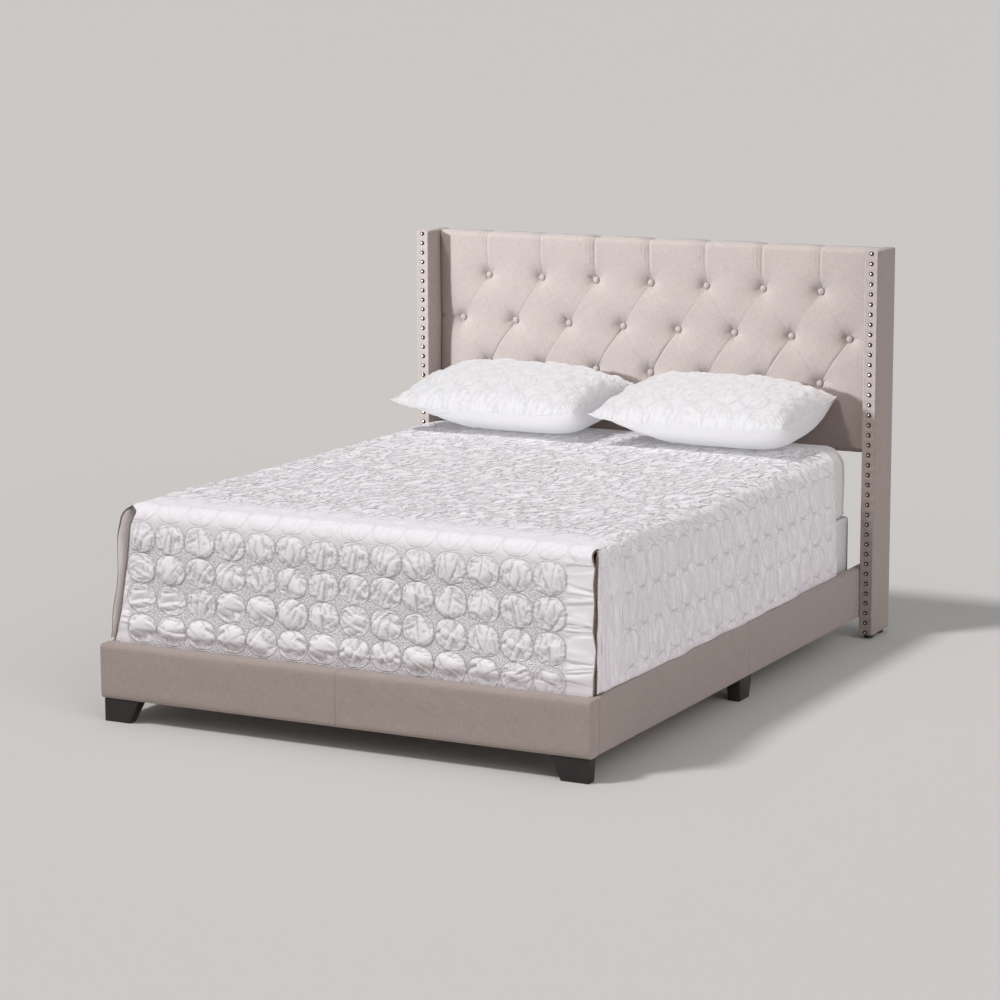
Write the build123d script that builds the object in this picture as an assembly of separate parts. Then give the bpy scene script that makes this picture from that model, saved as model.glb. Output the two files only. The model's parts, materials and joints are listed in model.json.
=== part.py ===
"""Upholstered wingback bed with its bedding.

Millimetres. X runs to the right seen from the foot, Y from the foot to the head, Z up.
The origin is on the floor, under the middle of the bed. Left and right are as seen from the foot.
"""

from build123d import *
from math import asin, ceil, cos, pi, sin, sqrt
import os

# Bedding, which sets the inside of the frame
mattress_width = 1524
mattress_length = 2032
mattress_height = 242
mattress_corner_radius = 70
mattress_edge_radius = 36
mattress_cover_wall = 16
box_spring_height = 229
box_spring_corner_radius = 20
box_spring_edge_radius = 9
box_spring_cover_wall = 4
box_spring_pad = 14
box_spring_board = 19
box_spring_slat_thickness = 12
box_spring_slat_width = 70
box_spring_slat_gap = 150
box_spring_frame_inset = 6
joist_count = 3
soft_clearance = 0.3

# Frame
deck_height = 177
bedding_gap_side = 14
bedding_gap_foot = 14
bedding_gap_head = 39
foot_height = 71
rail_height = 167
rail_thickness = 38
rail_padding = 6
rail_edge_radius = 8
rail_lap = 100
footboard_thickness = 58
footboard_padding = 12
footboard_edge_radius = 14
seam_width = 3
seam_depth = 2
ledger_size = 22
ledger_start = 70
ledger_end_gap = 15
ledger_screw_count = 8
slat_count = 4
slat_width = 75
slat_thickness = 19
slat_end_gap = 1.5
slat_end_margin = 200
center_leg_size = 45
center_glide_radius = 18
center_glide_height = 8

# Wings and headboard
headboard_height = 1300
headboard_underside = 615
wing_thickness = 48
wing_depth = 161
wing_reveal = 78
wing_padding = 6
wing_edge_radius = 5
wing_glide_radius = 15
wing_glide_height = 14
wing_glide_inset = 34
cushion_thickness = 40
cushion_top_pad = 12
cushion_roll = 18
tuft_depth = 26
tuft_pitch = 208
tuft_row_pitch = 155
tuft_top_margin = 153
tuft_columns = 8
tuft_steps = 4
button_radius = 12
button_height = 8
button_stem_radius = 2.5
button_clearance = 0.4
panel_thickness = 12
batten_thickness = 28
batten_width = 60
back_cloth_thickness = 1.5
back_cloth_margin = 14
nail_count = 39
nail_margin = 9
nail_radius = 7
nail_height = 4.5
nail_stem_radius = 1.2
nail_stem_length = 14

# Feet
front_foot_inset = 8
front_foot_width = 121
front_foot_depth = 48
front_foot_taper_width = 33
front_foot_taper_depth = 13
mid_foot_inset = 4
mid_foot_width = 48
mid_foot_length = 92
mid_foot_taper = 9

# Fasteners: shank radius, head radius and head height
bolt_radius = 4
bolt_head_radius = 8
bolt_head_height = 4
screw_radius = 2
screw_head_radius = 4
screw_head_height = 2
leg_bolt_radius = 3
leg_bolt_length = 75
wing_bolt_grip = 28
headboard_bolt_count = 3
headboard_bolt_margin = 90
rail_bolt_setback = 60
rail_bolt_margin = 38
foot_bolt_depth = 50
ledger_screw_length = 45
ledger_screw_rise = 5
slat_screw_length = 30
slat_screw_spacing = 44
bracket_leg = 50
bracket_thickness = 3
bracket_drop = 33
bracket_rise = 14
bracket_bolt_margin = 20
bracket_bolt_radius = 3
bracket_bolt_grip = 20
hole_clearance = 0.2
cut_overrun = 5

# Coverlet and pillows
quilt_thickness = 9
quilt_flare = 29
quilt_wave = 4
quilt_fold_spacing = 104
quilt_hem_tuck = 20
quilt_foot_clearance = 3
quilt_head_bare = 176
quilt_foot_cut_left = 40
quilt_foot_flare_left = 38
quilt_foot_flare_right = 35
quilt_mid_share = 0.45
pillow_length = 686
pillow_depth = 484
pillow_crown = 104
pillow_belly = 128
pillow_lean = 28
pillow_draw = 18
pillow_tilt = 4.5
pillow_center_left = 396
pillow_center_right = 352
pillow_head_gap = 6
pillow_rise_shares = (0, 0.1, 0.26, 0.45, 0.63, 0.79, 0.9, 0.97)

# Places worked out from the sizes above
bed_half = mattress_width / 2 + bedding_gap_side + rail_thickness
rail_inner = bed_half - rail_thickness
rail_top = foot_height + rail_height
bed_length = (footboard_thickness + bedding_gap_foot + mattress_length + bedding_gap_head
              + wing_depth - wing_reveal)
foot_y = -bed_length / 2
footboard_back_y = foot_y + footboard_thickness
bedding_foot_y = footboard_back_y + bedding_gap_foot
bedding_head_y = bedding_foot_y + mattress_length
bedding_mid_y = (bedding_foot_y + bedding_head_y) / 2
head_y = bed_length / 2
wing_front_y = head_y - wing_depth
crown_y = wing_front_y + wing_reveal
panel_front_y = crown_y + cushion_thickness
batten_front_y = panel_front_y + panel_thickness
batten_back_y = batten_front_y + batten_thickness
cloth_back_y = batten_back_y + back_cloth_thickness
rail_end_y = wing_front_y + rail_lap
rail_mid_y = (footboard_back_y + rail_end_y) / 2
panel_top = headboard_height - cushion_top_pad
panel_bottom = headboard_underside + cushion_top_pad
mattress_bottom = deck_height + box_spring_height
mattress_top = mattress_bottom + mattress_height
quilt_bottom = mattress_top + soft_clearance
quilt_top = quilt_bottom + quilt_thickness
ledger_top = deck_height - slat_thickness
tuft_middle = headboard_height - tuft_top_margin - tuft_row_pitch


def block(x0, x1, y0, y1, z0, z1):
    """A box between two corners."""
    box = Box(abs(x1 - x0), abs(y1 - y0), abs(z1 - z0))
    return Pos((x0 + x1) / 2, (y0 + y1) / 2, (z0 + z1) / 2) * box


def rod(start, axis, radius, length):
    """A cylinder that runs from start along axis."""
    place = Plane(origin=start, z_dir=axis).location
    return place * Pos(0, 0, length / 2) * Cylinder(radius, length)


def fastener(seat, axis, radius, length, head_radius, head_height):
    """A bolt or screw: its head stands on seat, its shank runs from there along axis."""
    back = (-axis[0], -axis[1], -axis[2])
    return rod(seat, axis, radius, length) + rod(seat, back, head_radius, head_height)


def bored(solid, places, radius, length):
    """The solid with a round hole at each (start, axis)."""
    for start, axis in places:
        solid = solid - rod(start, axis, radius + hole_clearance, length)
    return solid


def vertical_edges(solid):
    return solid.edges().filter_by(Axis.Z)


def top_edges(solid):
    return solid.faces().sort_by(Axis.Z)[-1].edges()


def rounded_slab(width, length, height, corner, edge):
    """A mattress-like block, centred in X and Y, standing on Z = 0, with rounded rims."""
    slab = extrude(RectangleRounded(width, length, corner), amount=height)
    rims = slab.faces().sort_by(Axis.Z)[0].edges() + slab.faces().sort_by(Axis.Z)[-1].edges()
    return fillet(rims, edge)


def dome(radius, rise, base):
    """The edge of a dome's half section, from its crown on the Z axis to its rim at base."""
    sphere = (radius ** 2 + rise ** 2) / (2 * rise)
    turn = asin(radius / sphere) / 2
    middle = (sphere * sin(turn), base + rise - sphere + sphere * cos(turn))
    return Edge.make_three_point_arc((0, base + rise), middle, (radius, base))


def arc_wire(points):
    """A closed wire from (start, middle) pairs: a middle of None gives a straight edge."""
    edges = []
    for index, (start, middle) in enumerate(points):
        end = points[(index + 1) % len(points)][0]
        if middle is None:
            edges.append(Edge.make_line(start, end))
        else:
            edges.append(Edge.make_three_point_arc(start, middle, end))
    return Wire(edges)


def write(name, shape):
    solids = shape if isinstance(shape, list) else [shape]
    solids = [solid for part in solids for solid in part.solids()]
    shape = Compound(solids) if len(solids) > 1 else solids[0]
    export_step(shape, f"parts/{name}.step")


def both_sides(write_one):
    for side, sign in (("left", -1), ("right", 1)):
        write_one(side, sign)


# Where the fasteners go: (seat, axis) pairs
def headboard_bolt_places(sign):
    first = panel_bottom + headboard_bolt_margin
    last = panel_top - headboard_bolt_margin
    step = (last - first) / (headboard_bolt_count - 1)
    x = sign * (bed_half - batten_width)
    y = (batten_front_y + batten_back_y) / 2
    return [((x, y, first + n * step), (sign, 0, 0)) for n in range(headboard_bolt_count)]


def rail_bolt_places(sign):
    levels = (foot_height + rail_bolt_margin, rail_top - rail_bolt_margin)
    y = wing_front_y + rail_bolt_setback
    return [((sign * rail_inner, y, z), (sign, 0, 0)) for z in levels]


def bracket_bolt_levels():
    return (foot_height + bracket_rise + bracket_bolt_margin,
            rail_top - bracket_drop - bracket_bolt_margin)


def bracket_rail_places(sign):
    x = sign * (rail_inner - bracket_thickness)
    y = footboard_back_y + bracket_leg - bracket_bolt_margin
    return [((x, y, z), (sign, 0, 0)) for z in bracket_bolt_levels()]


def bracket_board_places(sign):
    x = sign * (rail_inner - bracket_leg + bracket_bolt_margin)
    y = footboard_back_y + bracket_thickness
    return [((x, y, z), (0, -1, 0)) for z in bracket_bolt_levels()]


def slat_centers():
    first = bedding_foot_y + slat_end_margin
    step = (mattress_length - 2 * slat_end_margin) / (slat_count - 1)
    return [first + n * step for n in range(slat_count)]


def slat_screw_places(y):
    x = rail_inner - ledger_size / 2
    z = deck_height - screw_head_height
    return [((sign * x, y + side * slat_screw_spacing / 2, z), (0, 0, -1))
            for sign in (-1, 1) for side in (-1, 1)]


def ledger_span():
    return footboard_back_y + ledger_start, wing_front_y - ledger_end_gap


def ledger_screw_places(sign):
    start, end = ledger_span()
    step = (end - start) / ledger_screw_count
    z = ledger_top - ledger_size + ledger_screw_rise
    x = sign * (rail_inner - ledger_size)
    return [((x, start + (n + 0.5) * step, z), (sign, 0, 0)) for n in range(ledger_screw_count)]


def front_foot_center(sign):
    x = bed_half - front_foot_inset - (front_foot_width - front_foot_taper_width) / 2
    return sign * x, foot_y + front_foot_inset + (front_foot_depth - front_foot_taper_depth) / 2


def mid_foot_center(sign):
    return sign * (bed_half - rail_thickness / 2), rail_mid_y


def foot_bolt_places(sign):
    z = foot_height - foot_bolt_depth
    return [((x, y, z), (0, 0, 1)) for x, y in (front_foot_center(sign), mid_foot_center(sign))]


def nail_places(sign):
    first = wing_glide_height + nail_margin
    step = (headboard_height - nail_margin - first) / (nail_count - 1)
    x = sign * (bed_half + wing_thickness / 2)
    return [((x, wing_front_y, first + n * step), (0, 1, 0)) for n in range(nail_count)]


def button_places():
    """Button centres: the middle row is set half a pitch off the rows above and below it."""
    places = []
    for row in (-1, 0, 1):
        count = tuft_columns if row == 0 else tuft_columns - 1
        z = tuft_middle + row * tuft_row_pitch
        for n in range(count):
            places.append(((n - (count - 1) / 2) * tuft_pitch, z))
    return places


# Headboard
def tuft_shares(z):
    """The surface at one height, as shares of the tuft depth (0 at a button, 1 at a crown).

    Gives the width share of the scallops that stand over the middle row's buttons, then the
    shares at the folds, at the two kinds of crown, near the wing and against the wing.
    """
    narrow_share = 2 * button_radius / tuft_pitch
    fold_share = 0.5
    rows_away = abs(z - tuft_middle) / tuft_row_pitch
    if rows_away <= 1:
        turn = pi * rows_away
        width_share = min(max(rows_away, narrow_share), 1 - narrow_share)
        fold = fold_share * sin(turn) ** 0.8
        side = sin(turn / 2) ** 0.4
        return (width_share, fold, max(cos(turn / 2), 0) ** 0.6, sin(turn / 2) ** 0.6,
                side, 0.25 + 0.5 * side)
    end = headboard_height if z > tuft_middle else headboard_underside
    row = tuft_middle + (tuft_row_pitch if z > tuft_middle else -tuft_row_pitch)
    away = min(2.4 * abs(z - row) / abs(end - row), 1) ** 0.7
    rest = fold_share if z > tuft_middle else 0.95
    return 1 - narrow_share, rest * away, rest * away, 1, 1, 0.75


def cushion_section(z):
    """The padding's outline at one height: scalloped in front, flat behind."""
    width_share, fold, wide_crown, narrow_crown, side, wing = tuft_shares(z)
    from_end = min(headboard_height - z, z - headboard_underside, cushion_roll)
    roll = cushion_roll - sqrt(cushion_roll ** 2 - (cushion_roll - from_end) ** 2)
    half = bed_half - soft_clearance
    edge_x = (tuft_columns - 1) / 2 * tuft_pitch + button_radius
    bulge_share = 0.04

    def at(x, share):
        return (x, crown_y + roll + (1 - share) * tuft_depth, z)

    stops = [(-half, wing)]
    for column in range(tuft_columns):
        center = (column - (tuft_columns - 1) / 2) * tuft_pitch
        reach = width_share * tuft_pitch / 2
        first = column == 0
        last = column == tuft_columns - 1
        stops.append((-edge_x, side) if first else (center - reach, fold))
        stops.append((edge_x, side) if last else (center + reach, fold))
    stops.append((half, wing))
    points = []
    for index in range(len(stops) - 1):
        (x0, share0), (x1, share1) = stops[index], stops[index + 1]
        level = (share0 + share1) / 2
        crown = narrow_crown if index % 2 else wide_crown
        outer = index in (0, 1, len(stops) - 3, len(stops) - 2)
        middle = level + bulge_share if outer else max(crown, level + bulge_share)
        points.append((at(x0, share0), at((x0 + x1) / 2, middle)))
    points.append((at(half, wing), None))
    points.append(((half, panel_front_y, z), None))
    points.append(((-half, panel_front_y, z), None))
    return arc_wire(points)


def cushion_levels():
    """Heights of the padding's sections, bottom to top."""
    rows = 2 * tuft_steps
    levels = [tuft_middle + (n - tuft_steps) / tuft_steps * tuft_row_pitch for n in range(rows + 1)]
    near_share, far_share = 0.3, 0.6
    for end, row in ((headboard_underside, levels[0]), (headboard_height, levels[-1])):
        inward = 1 if end < row else -1
        levels += [end, end + inward * cushion_roll / 4, end + inward * cushion_roll,
                   row + (end - row) * near_share, row + (end - row) * far_share]
    return sorted(levels)


def headboard_cushion():
    front = Solid.make_loft([cushion_section(z) for z in cushion_levels()], True)
    half = bed_half - soft_clearance
    top_lip = block(-half, half, panel_front_y, cloth_back_y, panel_top, headboard_height)
    bottom_lip = block(-half, half, panel_front_y, cloth_back_y, headboard_underside, panel_bottom)
    cushion = front + top_lip + bottom_lip
    floor_y = crown_y + tuft_depth
    for x, z in button_places():
        cushion -= rod((x, floor_y, z), (0, -1, 0), button_radius + button_clearance, tuft_depth)
        cushion -= rod((x, floor_y, z), (0, 1, 0), button_stem_radius + hole_clearance,
                       cushion_thickness)
    return cushion


def button():
    """A covered button on its tie, standing on Z = 0 with the tie below."""
    rim = button_height / 3
    profile = [dome(button_radius, button_height - rim, rim),
               Edge.make_line((button_radius, rim), (button_radius, 0)),
               Edge.make_line((button_radius, 0), (0, 0)),
               Edge.make_line((0, 0), (0, button_height))]
    cap = revolve(Plane.XZ.location * Face(Wire(profile)), axis=Axis.Z)
    reach = cushion_thickness - tuft_depth + panel_thickness
    return cap + rod((0, 0, 0), (0, 0, -1), button_stem_radius, reach)


def write_headboard():
    ties = [((x, panel_front_y, z), (0, 1, 0)) for x, z in button_places()]
    panel = block(-bed_half, bed_half, panel_front_y, batten_front_y, panel_bottom, panel_top)
    write("headboard_panel", bored(panel, ties, button_stem_radius, panel_thickness))

    inner = bed_half - batten_width
    write("headboard_top_rail", block(-inner, inner, batten_front_y, batten_back_y,
                                      panel_top - batten_width, panel_top))
    write("headboard_bottom_rail", block(-inner, inner, batten_front_y, batten_back_y,
                                         panel_bottom, panel_bottom + batten_width))
    write("headboard_stile_center", block(-batten_width / 2, batten_width / 2, batten_front_y,
                                          batten_back_y, panel_bottom + batten_width,
                                          panel_top - batten_width))
    write("headboard_cushion", headboard_cushion())
    floor_y = crown_y + tuft_depth
    write("headboard_buttons", [Plane(origin=(x, floor_y, z), z_dir=(0, -1, 0)).location * button()
                                for x, z in button_places()])
    cloth_half = bed_half - back_cloth_margin
    write("headboard_back_cloth", block(-cloth_half, cloth_half, batten_back_y, cloth_back_y,
                                        panel_bottom + back_cloth_margin,
                                        panel_top - back_cloth_margin))

    length = batten_width + wing_padding + wing_bolt_grip
    bolts = []
    for side, sign in (("left", -1), ("right", 1)):
        places = headboard_bolt_places(sign)
        stile = block(sign * inner, sign * bed_half, batten_front_y, batten_back_y,
                      panel_bottom, panel_top)
        write(f"headboard_stile_{side}", bored(stile, places, bolt_radius, length))
        bolts += [fastener(seat, axis, bolt_radius, length, bolt_head_radius, bolt_head_height)
                  for seat, axis in places]
    write("headboard_bolts", bolts)


# Wings
def nail():
    """A domed nail head standing on Z = 0 with its shank below."""
    profile = [dome(nail_radius, nail_height, 0),
               Edge.make_line((nail_radius, 0), (0, 0)),
               Edge.make_line((0, 0), (0, nail_height))]
    head = revolve(Plane.XZ.location * Face(Wire(profile)), axis=Axis.Z)
    return head + rod((0, 0, 0), (0, 0, -1), nail_stem_radius, nail_stem_length)


def write_wing(side, sign):
    inner, outer = sign * bed_half, sign * (bed_half + wing_thickness)
    core_inner, core_outer = inner + sign * wing_padding, outer - sign * wing_padding
    core_front, core_back = wing_front_y + wing_padding, head_y - wing_padding
    core_top = headboard_height - wing_padding
    core = block(core_inner, core_outer, core_front, core_back, wing_glide_height, core_top)
    cover = block(inner, outer, wing_front_y, head_y, wing_glide_height, headboard_height)
    cover = fillet(vertical_edges(cover) + top_edges(cover), wing_edge_radius)
    cover -= block(core_inner, core_outer, core_front, core_back,
                   wing_glide_height - cut_overrun, core_top)

    wing_bolts = headboard_bolt_places(sign)
    wing_bolt_length = batten_width + wing_padding + wing_bolt_grip
    rail_bolts = rail_bolt_places(sign)
    rail_bolt_length = rail_thickness + wing_padding + wing_bolt_grip
    nails = nail_places(sign)
    for name, solid in (("core", core), ("cover", cover)):
        solid = bored(solid, wing_bolts, bolt_radius, wing_bolt_length)
        solid = bored(solid, rail_bolts, bolt_radius, rail_bolt_length)
        solid = bored(solid, nails, nail_stem_radius, nail_stem_length)
        write(f"wing_{side}_{name}", solid)
    write(f"wing_{side}_nails", [Plane(origin=seat, z_dir=(0, -1, 0)).location * nail()
                                 for seat, axis in nails])
    x = (inner + outer) / 2
    write(f"wing_{side}_glides", [rod((x, y, 0), (0, 0, 1), wing_glide_radius, wing_glide_height)
                                  for y in (wing_front_y + wing_glide_inset,
                                            head_y - wing_glide_inset)])


# Footboard and side rails
def seamed(cover, x0, x1, y0, y1):
    """The cover with a narrow groove cut between two corners, all the way up."""
    return cover - block(x0, x1, y0, y1, foot_height - cut_overrun, rail_top + cut_overrun)


def write_footboard():
    core_half = bed_half - footboard_padding
    core_top = rail_top - footboard_padding
    core_front, core_back = foot_y + footboard_padding, footboard_back_y - footboard_padding
    core = block(-core_half, core_half, core_front, core_back, foot_height, core_top)
    cover = block(-bed_half, bed_half, foot_y, footboard_back_y, foot_height, rail_top)
    ends = [edge for edge in vertical_edges(cover) if edge.center().Y < core_front]
    tops = [edge for edge in top_edges(cover) if edge.center().Y < core_back]
    cover = fillet(ends + tops, footboard_edge_radius)
    cover -= block(-core_half, core_half, core_front, core_back, foot_height - cut_overrun, core_top)
    cover = seamed(cover, -seam_width / 2, seam_width / 2, foot_y - cut_overrun,
                   foot_y + seam_depth)
    for name, solid in (("core", core), ("cover", cover)):
        for sign in (-1, 1):
            solid = bored(solid, bracket_board_places(sign), bracket_bolt_radius,
                          bracket_thickness + footboard_padding + bracket_bolt_grip)
            solid = bored(solid, foot_bolt_places(sign), bolt_radius, 2 * foot_bolt_depth)
        write(f"footboard_{name}", solid)


def write_side_rail(side, sign):
    inner, outer = sign * rail_inner, sign * bed_half
    core_inner, core_outer = inner + sign * rail_padding, outer - sign * rail_padding
    core_end, core_top = rail_end_y - rail_padding, rail_top - rail_padding
    core = block(core_inner, core_outer, footboard_back_y, core_end, foot_height, core_top)
    cover = block(inner, outer, footboard_back_y, rail_end_y, foot_height, rail_top)
    long_edges = [edge for edge in top_edges(cover) if abs(edge.center().X) > abs(core_outer)]
    cover = fillet(long_edges, rail_edge_radius)
    cover -= block(core_inner, core_outer, footboard_back_y - cut_overrun, core_end,
                   foot_height - cut_overrun, core_top)
    cover = seamed(cover, outer - sign * seam_depth, outer + sign * cut_overrun,
                   rail_mid_y - seam_width / 2, rail_mid_y + seam_width / 2)
    for name, solid in (("core", core), ("cover", cover)):
        solid = bored(solid, rail_bolt_places(sign), bolt_radius,
                      rail_thickness + wing_padding + wing_bolt_grip)
        solid = bored(solid, bracket_rail_places(sign), bracket_bolt_radius,
                      bracket_thickness + bracket_bolt_grip)
        solid = bored(solid, ledger_screw_places(sign), screw_radius, ledger_screw_length)
        solid = bored(solid, foot_bolt_places(sign), bolt_radius, 2 * foot_bolt_depth)
        write(f"side_rail_{side}_{name}", solid)


def write_ledger(side, sign):
    start, end = ledger_span()
    inner = sign * (rail_inner - ledger_size)
    ledger = block(inner, sign * rail_inner, start, end, ledger_top - ledger_size, ledger_top)
    ledger = bored(ledger, ledger_screw_places(sign), screw_radius, ledger_screw_length)
    for y in slat_centers():
        ledger = bored(ledger, slat_screw_places(y), screw_radius, slat_screw_length)
    write(f"ledger_{side}", ledger)


def write_bracket(side, sign):
    """A steel angle in the corner behind the footboard."""
    low, high = foot_height + bracket_rise, rail_top - bracket_drop
    inner = sign * (rail_inner - bracket_leg)
    on_board = block(inner, sign * rail_inner, footboard_back_y,
                     footboard_back_y + bracket_thickness, low, high)
    on_rail = block(sign * (rail_inner - bracket_thickness), sign * rail_inner, footboard_back_y,
                    footboard_back_y + bracket_leg, low, high)
    bracket = on_board + on_rail
    bracket = bored(bracket, bracket_board_places(sign), bracket_bolt_radius, bracket_thickness)
    bracket = bored(bracket, bracket_rail_places(sign), bracket_bolt_radius, bracket_thickness)
    write(f"foot_bracket_{side}", bracket)


def write_frame_fasteners():
    rail_bolts, bracket_bolts, ledger_screws, foot_bolts = [], [], [], []
    for sign in (-1, 1):
        rail_bolts += [fastener(seat, axis, bolt_radius,
                                rail_thickness + wing_padding + wing_bolt_grip,
                                bolt_head_radius, bolt_head_height)
                       for seat, axis in rail_bolt_places(sign)]
        bracket_bolts += [fastener(seat, axis, bracket_bolt_radius,
                                   bracket_thickness + footboard_padding + bracket_bolt_grip,
                                   2 * bracket_bolt_radius, bracket_bolt_radius)
                          for seat, axis in bracket_board_places(sign)]
        bracket_bolts += [fastener(seat, axis, bracket_bolt_radius,
                                   bracket_thickness + bracket_bolt_grip,
                                   2 * bracket_bolt_radius, bracket_bolt_radius)
                          for seat, axis in bracket_rail_places(sign)]
        ledger_screws += [fastener(seat, axis, screw_radius, ledger_screw_length,
                                   screw_head_radius, screw_head_height)
                          for seat, axis in ledger_screw_places(sign)]
        foot_bolts += [rod(start, axis, bolt_radius, 2 * foot_bolt_depth)
                       for start, axis in foot_bolt_places(sign)]
    write("rail_bolts", rail_bolts)
    write("foot_bracket_bolts", bracket_bolts)
    write("ledger_screws", ledger_screws)
    write("foot_bolts", foot_bolts)


# Feet
def tapered_foot(top, bottom):
    """A block foot between a bottom and a top rectangle, each (x0, x1, y0, y1)."""
    wires = []
    for (x0, x1, y0, y1), z in ((bottom, 0), (top, foot_height)):
        wires.append(Wire.make_polygon([(x0, y0, z), (x1, y0, z), (x1, y1, z), (x0, y1, z)]))
    return Solid.make_loft(wires, True)


def write_feet(side, sign):
    outer = sign * (bed_half - front_foot_inset)
    front = foot_y + front_foot_inset
    inner_top = outer - sign * front_foot_width
    top = (min(outer, inner_top), max(outer, inner_top), front, front + front_foot_depth)
    inner_bottom = inner_top + sign * front_foot_taper_width
    bottom = (min(outer, inner_bottom), max(outer, inner_bottom),
              front, front + front_foot_depth - front_foot_taper_depth)
    foot = bored(tapered_foot(top, bottom), foot_bolt_places(sign), bolt_radius,
                 2 * foot_bolt_depth)
    write(f"front_foot_{side}", foot)

    outer = sign * (bed_half - mid_foot_inset)
    inner_top = outer - sign * mid_foot_width
    half = mid_foot_length / 2
    top = (min(outer, inner_top), max(outer, inner_top), rail_mid_y - half, rail_mid_y + half)
    half -= mid_foot_taper / 2
    bottom = (min(outer, inner_top), max(outer, inner_top), rail_mid_y - half, rail_mid_y + half)
    foot = bored(tapered_foot(top, bottom), foot_bolt_places(sign), bolt_radius,
                 2 * foot_bolt_depth)
    write(f"mid_foot_{side}", foot)


# Slats and their legs
def write_slats():
    half = rail_inner - slat_end_gap
    leg_bolts, glides, screws = [], [], []
    for number, y in enumerate(slat_centers(), start=1):
        seat = (0, y, deck_height - bolt_head_height)
        slat = block(-half, half, y - slat_width / 2, y + slat_width / 2, ledger_top, deck_height)
        slat = bored(slat, slat_screw_places(y), screw_radius, slat_screw_length)
        for (x, screw_y, z), axis in slat_screw_places(y):
            slat -= rod((x, screw_y, z), (0, 0, 1), screw_head_radius + hole_clearance,
                        screw_head_height)
        slat = bored(slat, [(seat, (0, 0, -1))], leg_bolt_radius, leg_bolt_length)
        slat -= rod(seat, (0, 0, 1), 2 * leg_bolt_radius + hole_clearance, bolt_head_height)
        write(f"slat_{number}", slat)

        leg = block(-center_leg_size / 2, center_leg_size / 2, y - center_leg_size / 2,
                    y + center_leg_size / 2, center_glide_height, ledger_top)
        leg = bored(leg, [(seat, (0, 0, -1))], leg_bolt_radius, leg_bolt_length)
        write(f"center_leg_{number}", leg)
        leg_bolts.append(fastener(seat, (0, 0, -1), leg_bolt_radius, leg_bolt_length,
                                  2 * leg_bolt_radius, bolt_head_height - hole_clearance))
        glides.append(rod((0, y, 0), (0, 0, 1), center_glide_radius, center_glide_height))
        screws += [fastener(place, axis, screw_radius, slat_screw_length, screw_head_radius,
                            screw_head_height - hole_clearance)
                   for place, axis in slat_screw_places(y)]
    write("center_leg_bolts", leg_bolts)
    write("center_leg_glides", glides)
    write("slat_screws", screws)


# Box spring and mattress
def write_box_spring():
    place = Pos(0, bedding_mid_y, deck_height)
    cover = rounded_slab(mattress_width, mattress_length, box_spring_height,
                         box_spring_corner_radius, box_spring_edge_radius)
    room = extrude(RectangleRounded(mattress_width - 2 * box_spring_cover_wall,
                                    mattress_length - 2 * box_spring_cover_wall,
                                    box_spring_corner_radius - box_spring_cover_wall),
                   amount=box_spring_height - box_spring_cover_wall - box_spring_pad)
    write("box_spring_cover", place * (cover - Pos(0, 0, box_spring_cover_wall) * room))

    half_x = mattress_width / 2 - box_spring_cover_wall - box_spring_frame_inset
    half_y = mattress_length / 2 - box_spring_cover_wall - box_spring_frame_inset
    low = deck_height + box_spring_cover_wall
    high = mattress_bottom - box_spring_pad - box_spring_slat_thickness
    foot, head = bedding_mid_y - half_y, bedding_mid_y + half_y
    boards = []
    for sign in (-1, 1):
        boards.append(block(sign * (half_x - box_spring_board), sign * half_x, foot, head,
                            low, high))
    inside = half_x - box_spring_board
    for y0 in (foot, head - box_spring_board):
        boards.append(block(-inside, inside, y0, y0 + box_spring_board, low, high))
    step = 2 * inside / (joist_count + 1)
    for n in range(1, joist_count + 1):
        x = -inside + n * step
        boards.append(block(x - box_spring_board / 2, x + box_spring_board / 2,
                            foot + box_spring_board, head - box_spring_board, low, high))
    write("box_spring_frame", boards)

    count = ceil((2 * half_y - box_spring_slat_width) / box_spring_slat_gap)
    step = (2 * half_y - box_spring_slat_width) / count
    write("box_spring_slats", [block(-half_x, half_x, foot + n * step,
                                     foot + n * step + box_spring_slat_width,
                                     high, high + box_spring_slat_thickness)
                               for n in range(count + 1)])


def write_mattress():
    place = Pos(0, bedding_mid_y, mattress_bottom)
    cover = rounded_slab(mattress_width, mattress_length, mattress_height,
                         mattress_corner_radius, mattress_edge_radius)

    def inside(gap):
        inset = mattress_cover_wall + gap
        slab = rounded_slab(mattress_width - 2 * inset, mattress_length - 2 * inset,
                            mattress_height - 2 * inset, mattress_corner_radius - inset,
                            mattress_edge_radius - inset)
        return Pos(0, 0, inset) * slab

    write("mattress_cover", place * (cover - inside(0)))
    write("mattress_core", place * inside(soft_clearance))


# Coverlet
def drop_section(along, hem_out, mid_out, hem_z):
    """One section of a hanging side, outward as +1, placed by along(out, z).

    It turns over the mattress edge and hangs, flaring, to its hem.
    """
    inner = mattress_edge_radius + soft_clearance
    outer = inner + quilt_thickness
    bend = pi / 4
    bend_z = quilt_bottom - inner
    mid_z = hem_z + (bend_z - hem_z) * quilt_mid_share
    edge = soft_clearance
    start = edge - inner
    turn_in = (start + inner * sin(bend), bend_z + inner * cos(bend))
    turn_out = (start + outer * sin(bend), bend_z + outer * cos(bend))
    points = [
        ((start, quilt_bottom), turn_in),
        ((edge, bend_z), None),
        ((mid_out - quilt_thickness, mid_z), None),
        ((hem_out - quilt_thickness, hem_z), None),
        ((hem_out, hem_z), None),
        ((mid_out, mid_z), None),
        ((edge + quilt_thickness, bend_z), turn_out),
        ((start, quilt_top), None),
    ]
    placed = [(along(*p), None if m is None else along(*m)) for p, m in points]
    return arc_wire(placed)


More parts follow.
